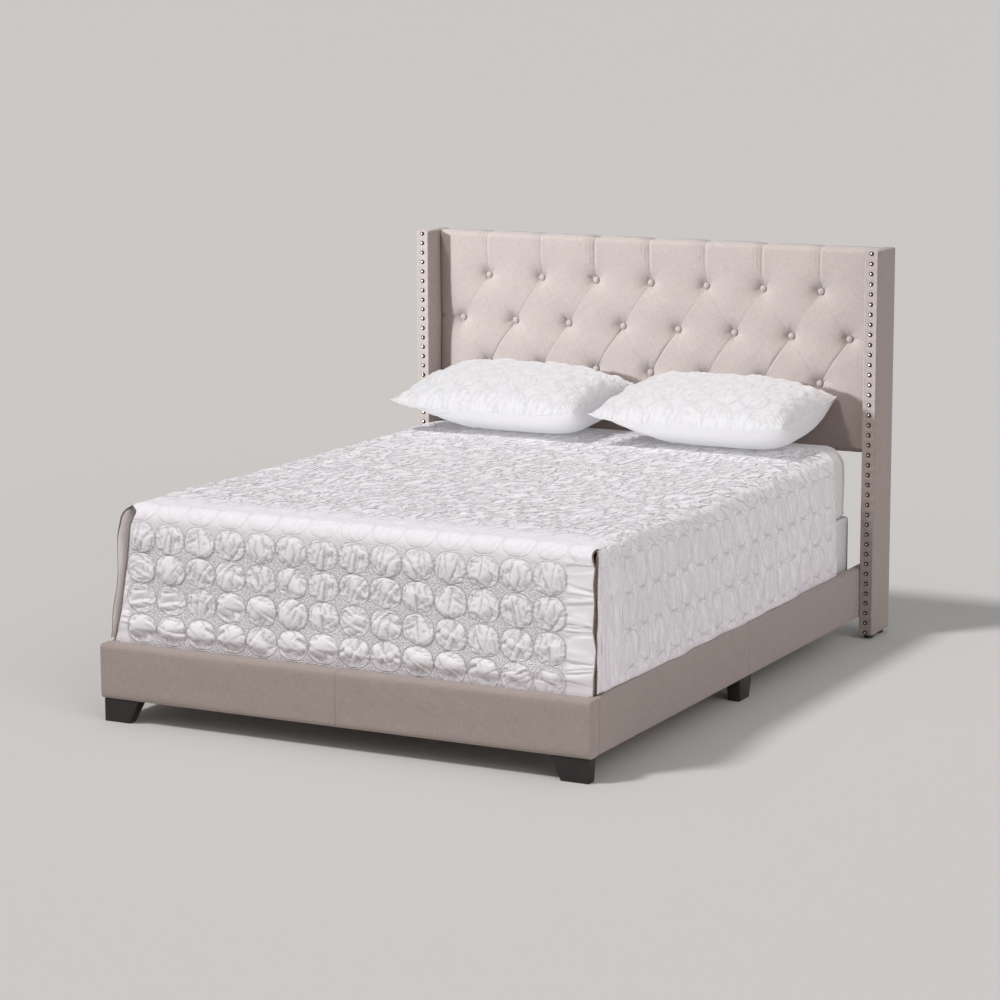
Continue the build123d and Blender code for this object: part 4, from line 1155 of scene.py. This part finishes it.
def headboard_face(x, z):
    """The front face: crowned between folds, drawn in at its sides."""
    dimples = button_dimples(x, z)
    folds = slanted_folds(x, z)
    depth = np.maximum(dimples, folds) + 0.45 * np.minimum(dimples, folds)
    depth = np.maximum(depth, upright_pleats(x, z)) + 0.3 * np.minimum(depth, upright_pleats(x, z))
    side_in = 0.013 * np.exp(-(cushion_high.x - np.abs(x)) / 0.010)
    swell = 0.0012 * soft_noise(x, z, 0.14, 51) + 0.0004 * soft_noise(x, z, 0.04, 52)
    return cushion_low.y + 0.0006 + depth + side_in + swell


def make_headboard_cushion():
    back = panel_high.y + 0.026
    roll = 0.020
    cell = 0.0027
    across = steps(cushion_low.x, cushion_high.x, cell)
    top, bottom = cushion_high.z, cushion_low.z
    flat = steps(bottom + roll, top - roll, cell)
    turns = np.linspace(0, math.pi / 2, 9)[1:]
    path = [(back, bottom + 0.006), (panel_high.y - 0.003, bottom + 0.001)]
    front = cushion_low.y
    path += [(front + roll - roll * math.sin(a), bottom + roll - roll * math.cos(a)) for a in turns[:-1]]
    path += [(front, z) for z in flat]
    path += [(front + roll - roll * math.cos(a), top - roll + roll * math.sin(a)) for a in turns[:-1]]
    path += [(front + roll, top), (panel_high.y, top), (back, top - 0.002), (back, top - 0.02)]
    path = np.array(path)
    piece, x, row = lined_grid("headboard_padding", across, np.arange(len(path), dtype=float))
    at = np.rint(row).astype(int)
    y, z = path[at, 0], path[at, 1]
    face = headboard_face(x, z) - cushion_low.y
    forward = smooth_step(y, front + roll, front)
    nearest = np.rint(x / tuft_pitch)
    scallop = 0.0060 * pleat_strength(nearest) * np.exp(-(np.abs(x - nearest * tuft_pitch) / 0.022) ** 1.2)
    lift = scallop * smooth_step(z, top - 0.03, top)
    place_points(piece.data, np.stack((x, y + face * forward, z - lift), 1))
    close_rim(piece)
    apply_modifier(piece, "DECIMATE", ratio=190000 / (2 * len(piece.data.polygons)))
    return piece


def close_rim(piece):
    """Closes an open form over its rim."""
    edit(piece)
    bpy.ops.mesh.select_all(action="DESELECT")
    bpy.ops.mesh.select_mode(type="EDGE")
    bpy.ops.mesh.select_non_manifold(extend=False, use_wire=False, use_boundary=True,
                                     use_multi_face=False, use_non_contiguous=False, use_verts=False)
    bpy.ops.mesh.edge_face_add()
    bpy.ops.mesh.select_all(action="SELECT")
    bpy.ops.mesh.normals_make_consistent(inside=False)
    leave_edit()


def make_buttons():
    """One covered button, copied to its places."""
    deselect()
    bpy.ops.mesh.primitive_uv_sphere_add(segments=20, ring_count=12, radius=1)
    first = bpy.context.object
    flat = points_of(first.data)
    radius, height = 0.0122, 0.0075
    front = np.minimum(flat[:, 1], 0.35)
    reach = np.hypot(flat[:, 0], flat[:, 2])
    angle = np.arctan2(flat[:, 2], flat[:, 0])
    gather = 1 + 0.035 * np.sin(9 * angle) * (reach > 0.7)
    shaped = np.stack((flat[:, 0] * radius * gather, front * height, flat[:, 2] * radius * gather), 1)
    made = []
    for x, z in tuft_places():
        deselect()
        first.select_set(True)
        bpy.context.view_layer.objects.active = first
        bpy.ops.object.duplicate(linked=False)
        button = bpy.context.object
        place_points(button.data, shaped + (x, cushion_low.y + tuft_depth - 0.001, z))
        made.append(button)
    bpy.data.objects.remove(first)
    deselect()
    for button in made:
        button.select_set(True)
    bpy.context.view_layer.objects.active = made[0]
    bpy.ops.object.join()
    made[0].name = "headboard_buttons_covered"
    return made[0]


def make_back_cloth():
    """The dust cloth, stretched over the back and pulled in at its staples."""
    low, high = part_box("headboard_back_cloth")
    cell = 0.005
    piece, x, z = lined_grid("headboard_dust_cloth", steps(low.x, high.x, cell), steps(low.z, high.z, cell))
    in_x, in_z = np.minimum(x - low.x, high.x - x), np.minimum(z - low.z, high.z - z)
    along = np.where(in_x < in_z, z, x)
    off = (along / staple_pitch - np.rint(along / staple_pitch)) * staple_pitch
    rim = np.minimum(in_x, in_z)
    pulled = np.exp(-(np.hypot(off, rim - 0.008) / 0.006) ** 2)
    tension = 0.0006 * np.cos(off / staple_pitch * 2 * math.pi) * np.exp(-rim / 0.03)
    slack = 0.0012 * soft_noise(x, z, 0.16, 58) * smooth_step(rim, 0, 0.08)
    y = high.y + 0.0006 - 0.0010 * pulled - tension + slack
    place_points(piece.data, np.stack((x, y, z), 1))
    edit(piece)
    bpy.ops.mesh.select_all(action="SELECT")
    bpy.ops.mesh.flip_normals()
    leave_edit()
    return piece


# Boards wrapped in cloth
def wrapped_board(name, axis, low, high, radius, step, fine=(), puff=0.0015, seed=60):
    """A padded board: a rounded section carried along axis, with softly swelling faces."""
    others = [n for n in range(3) if n != axis]
    half = [(high[n] - low[n]) / 2 for n in others]
    middle = [(high[n] + low[n]) / 2 for n in others]
    end = 0.004
    inner = steps(low[axis] + end, high[axis] - end, step, *fine)
    along = np.concatenate(([low[axis], low[axis] + 0.3 * end], inner, [high[axis] - 0.3 * end, high[axis]]))
    corner = []
    count = 5
    a, b = half[0] - radius, half[1] - radius
    spots = []
    for sx, sy, start in ((1, 1, 0), (-1, 1, 1), (-1, -1, 2), (1, -1, 3)):
        for k in range(count + 1):
            turn = (start + k / count) * math.pi / 2
            spots.append((sx * a + radius * math.cos(turn), sy * b + radius * math.sin(turn)))
        nx, ny = ((-a, b + radius), (-a - radius, -b), (a, -b - radius), (a + radius, b))[start]
        x0, y0 = spots[-1]
        run = math.hypot(nx - x0, ny - y0)
        parts = max(1, round(run / step))
        spots += [(x0 + (nx - x0) * k / parts, y0 + (ny - y0) * k / parts) for k in range(1, parts)]
    spots.append(spots[0])
    spots = np.array(spots)
    piece, length, turn = lined_grid(name, along, np.arange(len(spots), dtype=float))
    at = np.rint(turn).astype(int)
    p, q = spots[at, 0], spots[at, 1]
    near_end = np.minimum(length - low[axis], high[axis] - length)
    inset = end - np.sqrt(np.maximum(0, end ** 2 - np.clip(end - near_end, 0, end) ** 2))
    p, q = p * (1 - inset / half[0]), q * (1 - inset / half[1])
    outward = np.stack((p / half[0], q / half[1]), 1)
    outward = np.where(np.abs(outward) > 0.985, np.sign(outward), 0)
    crown = smooth_step(half[0] - np.abs(p), 0, 0.03) + smooth_step(half[1] - np.abs(q), 0, 0.03)
    wave = soft_noise(length, p + q * 3, 0.13, seed) + 0.4 * soft_noise(length, p - q * 2, 0.045, seed + 1)
    lift = puff * (0.4 + 0.4 * wave) * np.clip(crown, 0, 1) * smooth_step(near_end, 0, 0.03)
    p, q = p + outward[:, 0] * lift, q + outward[:, 1] * lift
    places = np.empty((len(p), 3))
    places[:, axis] = length
    places[:, others[0]] = p + middle[0]
    places[:, others[1]] = q + middle[1]
    place_points(piece.data, places)
    edit(piece)
    bpy.ops.mesh.select_all(action="SELECT")
    bpy.ops.mesh.remove_doubles(threshold=1e-6)
    leave_edit()
    cap_ends(piece, axis, low[axis], high[axis])
    return piece


def press_seam(piece, axis, place, width, depth, low, high):
    """Draws a wrapped board in along a sewn seam that crosses it at one place along axis."""
    points = points_of(piece.data)
    normal = normals_of(piece.data)
    reach = np.abs(points[:, axis] - place)
    pull = depth * np.exp(-(reach / width) ** 1.5) - 0.25 * depth * np.exp(-((reach - 2.5 * width) / width) ** 2)
    points -= normal * pull[:, None]
    place_points(piece.data, points)


def make_footboard():
    piece = wrapped_board("footboard_covering", 0, footboard_low, footboard_high, 0.0135, 0.010,
                          [(0.0, 0.012, 0.0012)], 0.0022, 61)
    press_seam(piece, 0, 0.0, 0.0016, 0.0022, footboard_low, footboard_high)
    return piece


def make_side_rail(side):
    low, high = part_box(f"side_rail_{side}_cover")
    piece = wrapped_board(f"side_rail_{side}_covering", 1, low, high, 0.0085, 0.010,
                          [(rail_seam, 0.012, 0.0012)], 0.0018, 62 + (side == "left"))
    press_seam(piece, 1, rail_seam, 0.0016, 0.0018, low, high)
    return piece


def make_wing(side):
    low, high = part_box(f"wing_{side}_cover")
    piece = wrapped_board(f"wing_{side}_covering", 2, low, high, 0.006, 0.0042, (), 0.0016,
                          66 + (side == "left"))
    points = points_of(piece.data)
    front = points[:, 1] < low.y + 0.004
    middle = (low.x + high.x) / 2
    edge = (high.x - low.x) / 2 - np.abs(points[:, 0] - middle)
    welt = 0.0012 * np.exp(-((edge - 0.0035) / 0.002) ** 2) * front
    along = (points[:, 2] - nail_start) / nail_pitch
    off_line = np.abs(points[:, 0]) - nail_line
    off = np.hypot((along - np.clip(np.rint(along), 0, nail_count - 1)) * nail_pitch, off_line)
    dimple = 0.0028 * np.exp(-(off / 0.0095) ** 2) * front
    scallop = 0.0007 * np.cos(along * 2 * math.pi) * np.exp(-(edge / 0.006) ** 2) * front
    points[:, 1] += dimple + scallop - welt
    place_points(piece.data, points)
    return piece


rail_seam = 0.011


# Mattress and box spring
def rounded_slab(name, low, high, corner, edge, low_edge, step, side_form):
    """A slab with rounded corners and rims, whose sides side_form pushes out."""
    a, b = (high.x - low.x) / 2 - corner, (high.y - low.y) / 2 - corner
    middle_x, middle_y = (low.x + high.x) / 2, (low.y + high.y) / 2
    spots = []
    for start, (sx, sy) in enumerate(((1, 1), (-1, 1), (-1, -1), (1, -1))):
        count = max(4, round(corner * math.pi / 2 / step))
        for k in range(count + 1):
            turn = (start + k / count) * math.pi / 2
            spots.append((sx * a, sy * b, math.cos(turn), math.sin(turn)))
        nx, ny = ((-a, b), (-a, -b), (a, -b), (a, b))[start]
        x0, y0, c, s = spots[-1]
        parts = round(math.hypot(nx - x0, ny - y0) / step)
        spots += [(x0 + (nx - x0) * k / parts, y0 + (ny - y0) * k / parts, c, s) for k in range(1, parts)]
    spots.append(spots[0])
    spots = np.array(spots)
    arc = [(edge * (1 - math.cos(t)), edge * math.sin(t)) for t in np.linspace(0, math.pi / 2, 7)]
    foot = [(low_edge / edge * inset, low_edge / edge * rise) for inset, rise in arc]
    profile = [(corner * 0.9, low.z)]
    profile += [(inset, low.z + low_edge - rise) for inset, rise in reversed(foot)]
    straight = steps(low.z + low_edge, high.z - edge, step)[1:-1]
    profile += [(0, z) for z in straight]
    profile += [(inset, high.z - edge + rise) for inset, rise in arc]
    profile += [(corner * 0.9, high.z)]
    profile = np.array(profile)
    piece, around, level = lined_grid(name, np.arange(len(spots), dtype=float),
                                      np.arange(len(profile), dtype=float))
    at, ring = np.rint(around).astype(int), np.rint(level).astype(int)
    inset, z = profile[ring, 0], profile[ring, 1]
    run = np.cumsum(np.hypot(*np.diff(spots[:, :2] + corner * spots[:, 2:], axis=0, prepend=spots[:1, :2] + corner * spots[:1, 2:]).T))
    push = side_form(run[at], z, inset)
    x = middle_x + spots[at, 0] + (corner - inset + push) * spots[at, 2]
    y = middle_y + spots[at, 1] + (corner - inset + push) * spots[at, 3]
    place_points(piece.data, np.stack((x, y, z), 1))
    edit(piece)
    bpy.ops.mesh.select_all(action="SELECT")
    bpy.ops.mesh.remove_doubles(threshold=1e-6)
    leave_edit()
    close_rim(piece)
    return piece


def mattress_side(run, z, inset):
    tape = 0.0035 * (np.exp(-((z - mattress_low.z - 0.020) / 0.005) ** 2)
                     + np.exp(-((z - mattress_high.z + 0.058) / 0.005) ** 2))
    bulge = -0.004 * (1 - np.sin(np.pi * np.clip((z - mattress_low.z) / 0.242, 0, 1)))
    pucker = 0.0012 * soft_noise(run, z * 0.4, 0.022, 71) + 0.0016 * soft_noise(run, z, 0.09, 72)
    return np.minimum(tape + bulge + pucker, 0.0015) * (inset < 0.03)


def spring_side(run, z, inset):
    tape = 0.002 * (np.exp(-((z - spring_low.z - 0.010) / 0.004) ** 2)
                    + np.exp(-((z - spring_high.z + 0.010) / 0.004) ** 2))
    return np.minimum(-0.0015 + tape + 0.0012 * soft_noise(run, z, 0.14, 73), 0.001)


# Feet
def tapered_foot(name, low, high, narrow, shift):
    """A block whose bottom is narrow smaller than its top, and moved by shift."""
    size = high - low
    deselect()
    bpy.ops.mesh.primitive_cube_add(size=1, location=(low + high) / 2, scale=size)
    foot = bpy.context.object
    foot.name = foot.data.name = name
    bpy.ops.object.transform_apply(location=True, rotation=False, scale=True)
    points = points_of(foot.data)
    middle = (np.array(low) + np.array(high)) / 2
    bottom = points[:, 2] < middle[2]
    share = (np.array(size) - np.array(narrow)) / np.array(size)
    points[bottom, :2] = (middle + (points[bottom] - middle) * share)[:, :2] + shift
    place_points(foot.data, points)
    edit(foot)
    bpy.ops.mesh.select_all(action="SELECT")
    bpy.ops.mesh.bevel(offset=0.0022, segments=3, affect="EDGES")
    leave_edit()
    return foot


def make_feet(side, sign):
    low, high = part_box(f"front_foot_{side}")
    front = tapered_foot(f"front_foot_{side}_block", low, high, (0.033, 0.013, 0),
                         (sign * 0.0165, -0.0065))
    finish(front, "frame", foot_wood, "black_wood", f"front_foot_{side}", sharp=40)
    low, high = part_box(f"mid_foot_{side}")
    middle = tapered_foot(f"mid_foot_{side}_block", low, high, (0.009, 0.018, 0), (0.0, 0.0))
    finish(middle, "frame", foot_wood, "black_wood", f"mid_foot_{side}", sharp=40)


# Pillows
pillow_half = (0.343, 0.242)
pillow_tilt = math.radians(4.5)
pillow_seam_rise = 0.1235
pillow_rise, pillow_fall = 0.088, 0.132
envelope_place = -0.36


def pillow_fill(u, v, face):
    """How full the pillow is over u and v from -1 to 1: fuller below its seam."""
    if face > 0:
        return (1 - np.abs(u) ** 3.4) ** 0.55 * (1 - np.abs(v) ** 2.6) ** 0.60
    ends = np.where(u < 0, (1 - np.abs(u) ** 3.0) ** 0.85, (1 - np.abs(u) ** 5) ** 0.62)
    front = (1 - np.abs(v) ** 2.1) ** 0.85
    return ends * np.where(v < 0, front, (1 - np.abs(v) ** 4.8) ** 0.62)


def pillow_wrinkles(u, v, x, y, face, seed):
    """Small folds: upright ones that leave the seam above, slanted ones by the envelope below."""
    from_front, from_side = (1 + v) * pillow_half[1], (1 - np.abs(u)) * pillow_half[0]
    from_seam = np.minimum(np.minimum(from_front, (1 - v) * pillow_half[1]), from_side)
    if face > 0:
        pleats = np.sin((x + 0.010 * soft_noise(x, y, 0.06, seed)) / 0.021 * 2 * math.pi)
        fall = np.exp(-from_front / 0.055) * smooth_step(from_front, 0, 0.012)
        corners = np.exp(-((1 - np.abs(u)) / 0.22) ** 2) * np.exp(-((1 - np.abs(v)) / 0.30) ** 2)
        slant = np.sin((np.abs(u) * 0.343 - np.abs(v) * 0.242 + 0.01 * soft_noise(x, y, 0.05, seed + 1))
                       / 0.024 * 2 * math.pi)
        edge = smooth_step(from_seam, 0.0, 0.014)
        return (0.0010 * pleats * fall + 0.0026 * slant * corners) * edge
    run = x * 0.42 + from_front * 1.1 + 0.010 * soft_noise(x, y, 0.07, seed)
    slant = -np.exp(-(soft_noise(run, x * 0.10, 0.020, seed + 2) / 0.30) ** 2)
    left = smooth_step(u, envelope_place, envelope_place - 0.06) * smooth_step(from_seam, 0.0, 0.012)
    step = 0.0045 * smooth_step(u, envelope_place + 0.004, envelope_place - 0.002)
    return 0.0085 * slant * left + step * smooth_step(from_seam, 0.0, 0.01)


def pillow_face(side, face, seed):
    """The upper or lower half of a pillow, before it is tilted and set down."""
    half = grid(f"pillow_{side}_{face}", *(((200, 140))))
    flat = points_of(half.data)
    u, v = np.sin((flat[:, 0] - 0.5) * math.pi), np.sin((flat[:, 1] - 0.5) * math.pi)
    draw = 0.018
    x = u * (pillow_half[0] - draw * (1 - v ** 2) * u ** 2)
    y = v * (pillow_half[1] - draw * (1 - u ** 2) * v ** 2)
    fill = pillow_fill(u, v, face)
    sag = -0.026 * (1 - u ** 4) * np.clip(-v, 0, 1) ** 3 - 0.012 * (1 - v ** 4) * u ** 8
    if face > 0:
        x = x + 0.006 * fill
        z = pillow_rise * fill + sag * (1 - fill)
    else:
        x = x + 0.026 * fill
        z = sag * (1 - fill) - pillow_fall * fill
    place_points(half.data, np.stack((x, y, z), 1))
    normal = normals_of(half.data) * face
    lift = pillow_wrinkles(u, v, x, y, face, seed + 5)
    cloth_x, cloth_y = (u + 1) * pillow_half[0], (v + 1) * pillow_half[1] * 1.08
    relief, sunk, cells, stitched = quilting(cloth_x, cloth_y, pillow_crease, seed)
    if face > 0:
        inner = smooth_step(np.maximum(np.abs(u), np.abs(v)), 1.0, 0.88)
        lift = lift + relief[:, 2] * 0.62 * inner
    else:
        stitched = 0 * u
        sunk = np.clip(-lift / 0.0050, 0, 1)
    place_map(half.data, cells[:, 0], cells[:, 1])
    # These maps set painted shade along the seams of the upper face and in the bottoms of its folds and of the
    # lower face's wrinkles.
    mark(half, "stitched", 0.26 * stitched, np.full(len(u), 0.04))
    mark(half, "creased", 0.42 * sunk, np.full(len(u), 0.12 if face > 0 else 0.0))
    place_points(half.data, points_of(half.data) + normal * lift[:, None])
    if face < 0:
        edit(half)
        bpy.ops.mesh.select_all(action="SELECT")
        bpy.ops.mesh.flip_normals()
        leave_edit()
    return half


def make_pillow(side, seed):
    """Two faces sewn together, with a thin roll along the seam."""
    low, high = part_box(f"pillow_{side}")
    halves = [pillow_face(side, face, seed) for face in (1, -1)]
    deselect()
    halves[0].select_set(True)
    bpy.context.view_layer.objects.active = halves[0]
    bpy.ops.object.duplicate(linked=False)
    rim = bpy.context.object
    make_binding(rim)
    deselect()
    for half in halves + [rim]:
        half.select_set(True)
    bpy.context.view_layer.objects.active = halves[0]
    bpy.ops.object.join()
    pillow = halves[0]
    pillow.name = pillow.data.name = f"pillow_{side}_case"
    points = points_of(pillow.data)
    middle_x = (low.x + high.x) / 2
    middle_y = high.y - pillow_half[1] * math.cos(pillow_tilt)
    y = points[:, 1] * math.cos(pillow_tilt) - points[:, 2] * math.sin(pillow_tilt)
    z = points[:, 1] * math.sin(pillow_tilt) + points[:, 2] * math.cos(pillow_tilt)
    z = np.maximum(low.z + pillow_seam_rise + z, low.z)
    place_points(pillow.data, np.stack((middle_x + points[:, 0], middle_y + y, z), 1))
    edit(pillow)
    bpy.ops.mesh.select_all(action="SELECT")
    bpy.ops.mesh.remove_doubles(threshold=1e-5)
    leave_edit()
    return pillow


def pillow_crease(column, row, draw):
    return (0, 0, 4, 1)[int(draw * 4)]


# Dressing the frame
cushion = make_headboard_cushion()
finish(cushion, "frame", tufted_linen, "linen_fabric", "headboard_cushion")
buttons = finish(make_buttons(), "frame", linen, "linen_fabric", "headboard_buttons")
headboard_pieces = [cushion, buttons]
back = finish(make_back_cloth(), "frame", back_cloth_dark, "back_cloth", "headboard_back_cloth")
for side in ("left", "right"):
    for piece, node_name in ((make_side_rail(side), f"side_rail_{side}_cover"),
                             (make_wing(side), f"wing_{side}_cover")):
        finish(piece, "frame", linen, "linen_fabric", node_name)
        if piece.data.name.startswith("wing"):
            headboard_pieces += [piece, frame["nodes"][f"wing_{side}_nails"]]
footboard = make_footboard()
finish(footboard, "frame", linen, "linen_fabric", "footboard_cover")
mattress = rounded_slab("mattress_case", mattress_low, mattress_high + Vector((0, 0.010, 0)), 0.078, 0.070,
                        0.018, 0.009, mattress_side)
finish(mattress, "mattress", ticking, "mattress_ticking", "mattress_cover")
spring = rounded_slab("box_spring_case", spring_low, spring_high, 0.016, 0.007, 0.009, 0.012, spring_side)
finish(spring, "box_spring", spring_ticking, "box_spring_ticking", "box_spring_cover")
pillows = []
for side, sign in (("left", -1), ("right", 1)):
    make_feet(side, sign)
    pillow = make_pillow(side, 80 + sign)
    pillows.append(pillow)
    finish(pillow, f"pillow_{side}", pillow_cotton_shaded, "quilted_cotton", f"pillow_{side}")


def set_camera():
    data = bpy.data.cameras.new("camera")
    data.lens = camera_lens
    camera = bpy.data.objects.new("camera", data)
    bpy.context.scene.collection.objects.link(camera)
    turn = (Matrix.Rotation(camera_yaw, 4, "Z")
            @ Matrix.Rotation(math.pi / 2 - camera_pitch, 4, "X")
            @ Matrix.Rotation(camera_roll, 4, "Z"))
    camera.matrix_world = Matrix.Translation(camera_place) @ turn
    bpy.context.scene.camera = camera


def add_sun(name, toward, strength, softness, color):
    data = bpy.data.lights.new(name, "SUN")
    data.energy = strength
    data.angle = math.radians(softness)
    data.color = color
    sun = bpy.data.objects.new(name, data)
    sun.rotation_euler = Vector(toward).to_track_quat("-Z", "Y").to_euler()
    bpy.context.scene.collection.objects.link(sun)


def add_spot(name, place, toward, radius, cone, power, color):
    """A soft lamp that lights a round patch; cone is its full angle in degrees."""
    data = bpy.data.lights.new(name, "SPOT")
    data.energy = power
    data.shadow_soft_size = radius
    data.color = color
    data.spot_size = math.radians(cone)
    data.spot_blend = 0.75
    lamp = bpy.data.objects.new(name, data)
    lamp.location = place
    lamp.rotation_euler = (Vector(toward) - Vector(place)).to_track_quat("-Z", "Y").to_euler()
    bpy.context.scene.collection.objects.link(lamp)
    return lamp


def light_only(lamp, pieces):
    """Keeps a lamp's light on some pieces, as a studio's barn doors do."""
    lit = bpy.data.collections.new(lamp.name)
    for piece in pieces:
        lit.objects.link(piece)
    lamp.light_linking.receiver_collection = lit


def set_light():
    world = bpy.data.worlds.new("studio")
    world.use_nodes = True
    world.node_tree.nodes["Background"].inputs["Color"].default_value = (0.97, 0.975, 0.985, 1)
    world.node_tree.nodes["Background"].inputs["Strength"].default_value = 0.38
    bpy.context.scene.world = world
    add_sun("key_light", (0.355, 0.405, -0.842), 1.86, 9, (1, 0.985, 0.975))
    add_sun("side_fill", (-0.80, 0.36, -0.48), 0.90, 50, (1, 0.965, 0.955))
    head_light = add_spot("head_light", (-5.2, -5.9, 2.9), (-0.28, 1.03, 1.05), 0.32, 20, 4800,
                          (0.84, 0.94, 1))
    light_only(head_light, headboard_pieces)
    bounce = add_spot("coverlet_bounce", (-0.6, -3.5, -3.4), (0, 0.6, 0.76), 0.5, 26, 600, (0.98, 1, 1))
    light_only(bounce, pillows)
    bounce.light_linking.blocker_collection = bounce.light_linking.receiver_collection
    bpy.context.scene.view_settings.view_transform = "Standard"


def lay_floor():
    deselect()
    bpy.ops.mesh.primitive_plane_add(size=floor_size)
    floor = bpy.context.object
    floor.name = "studio_floor"
    floor.data.materials.append(new_material("studio_floor", 0.8, {"Base Color": (0.60, 0.585, 0.57, 1)}))


set_camera()
set_light()
lay_floor()
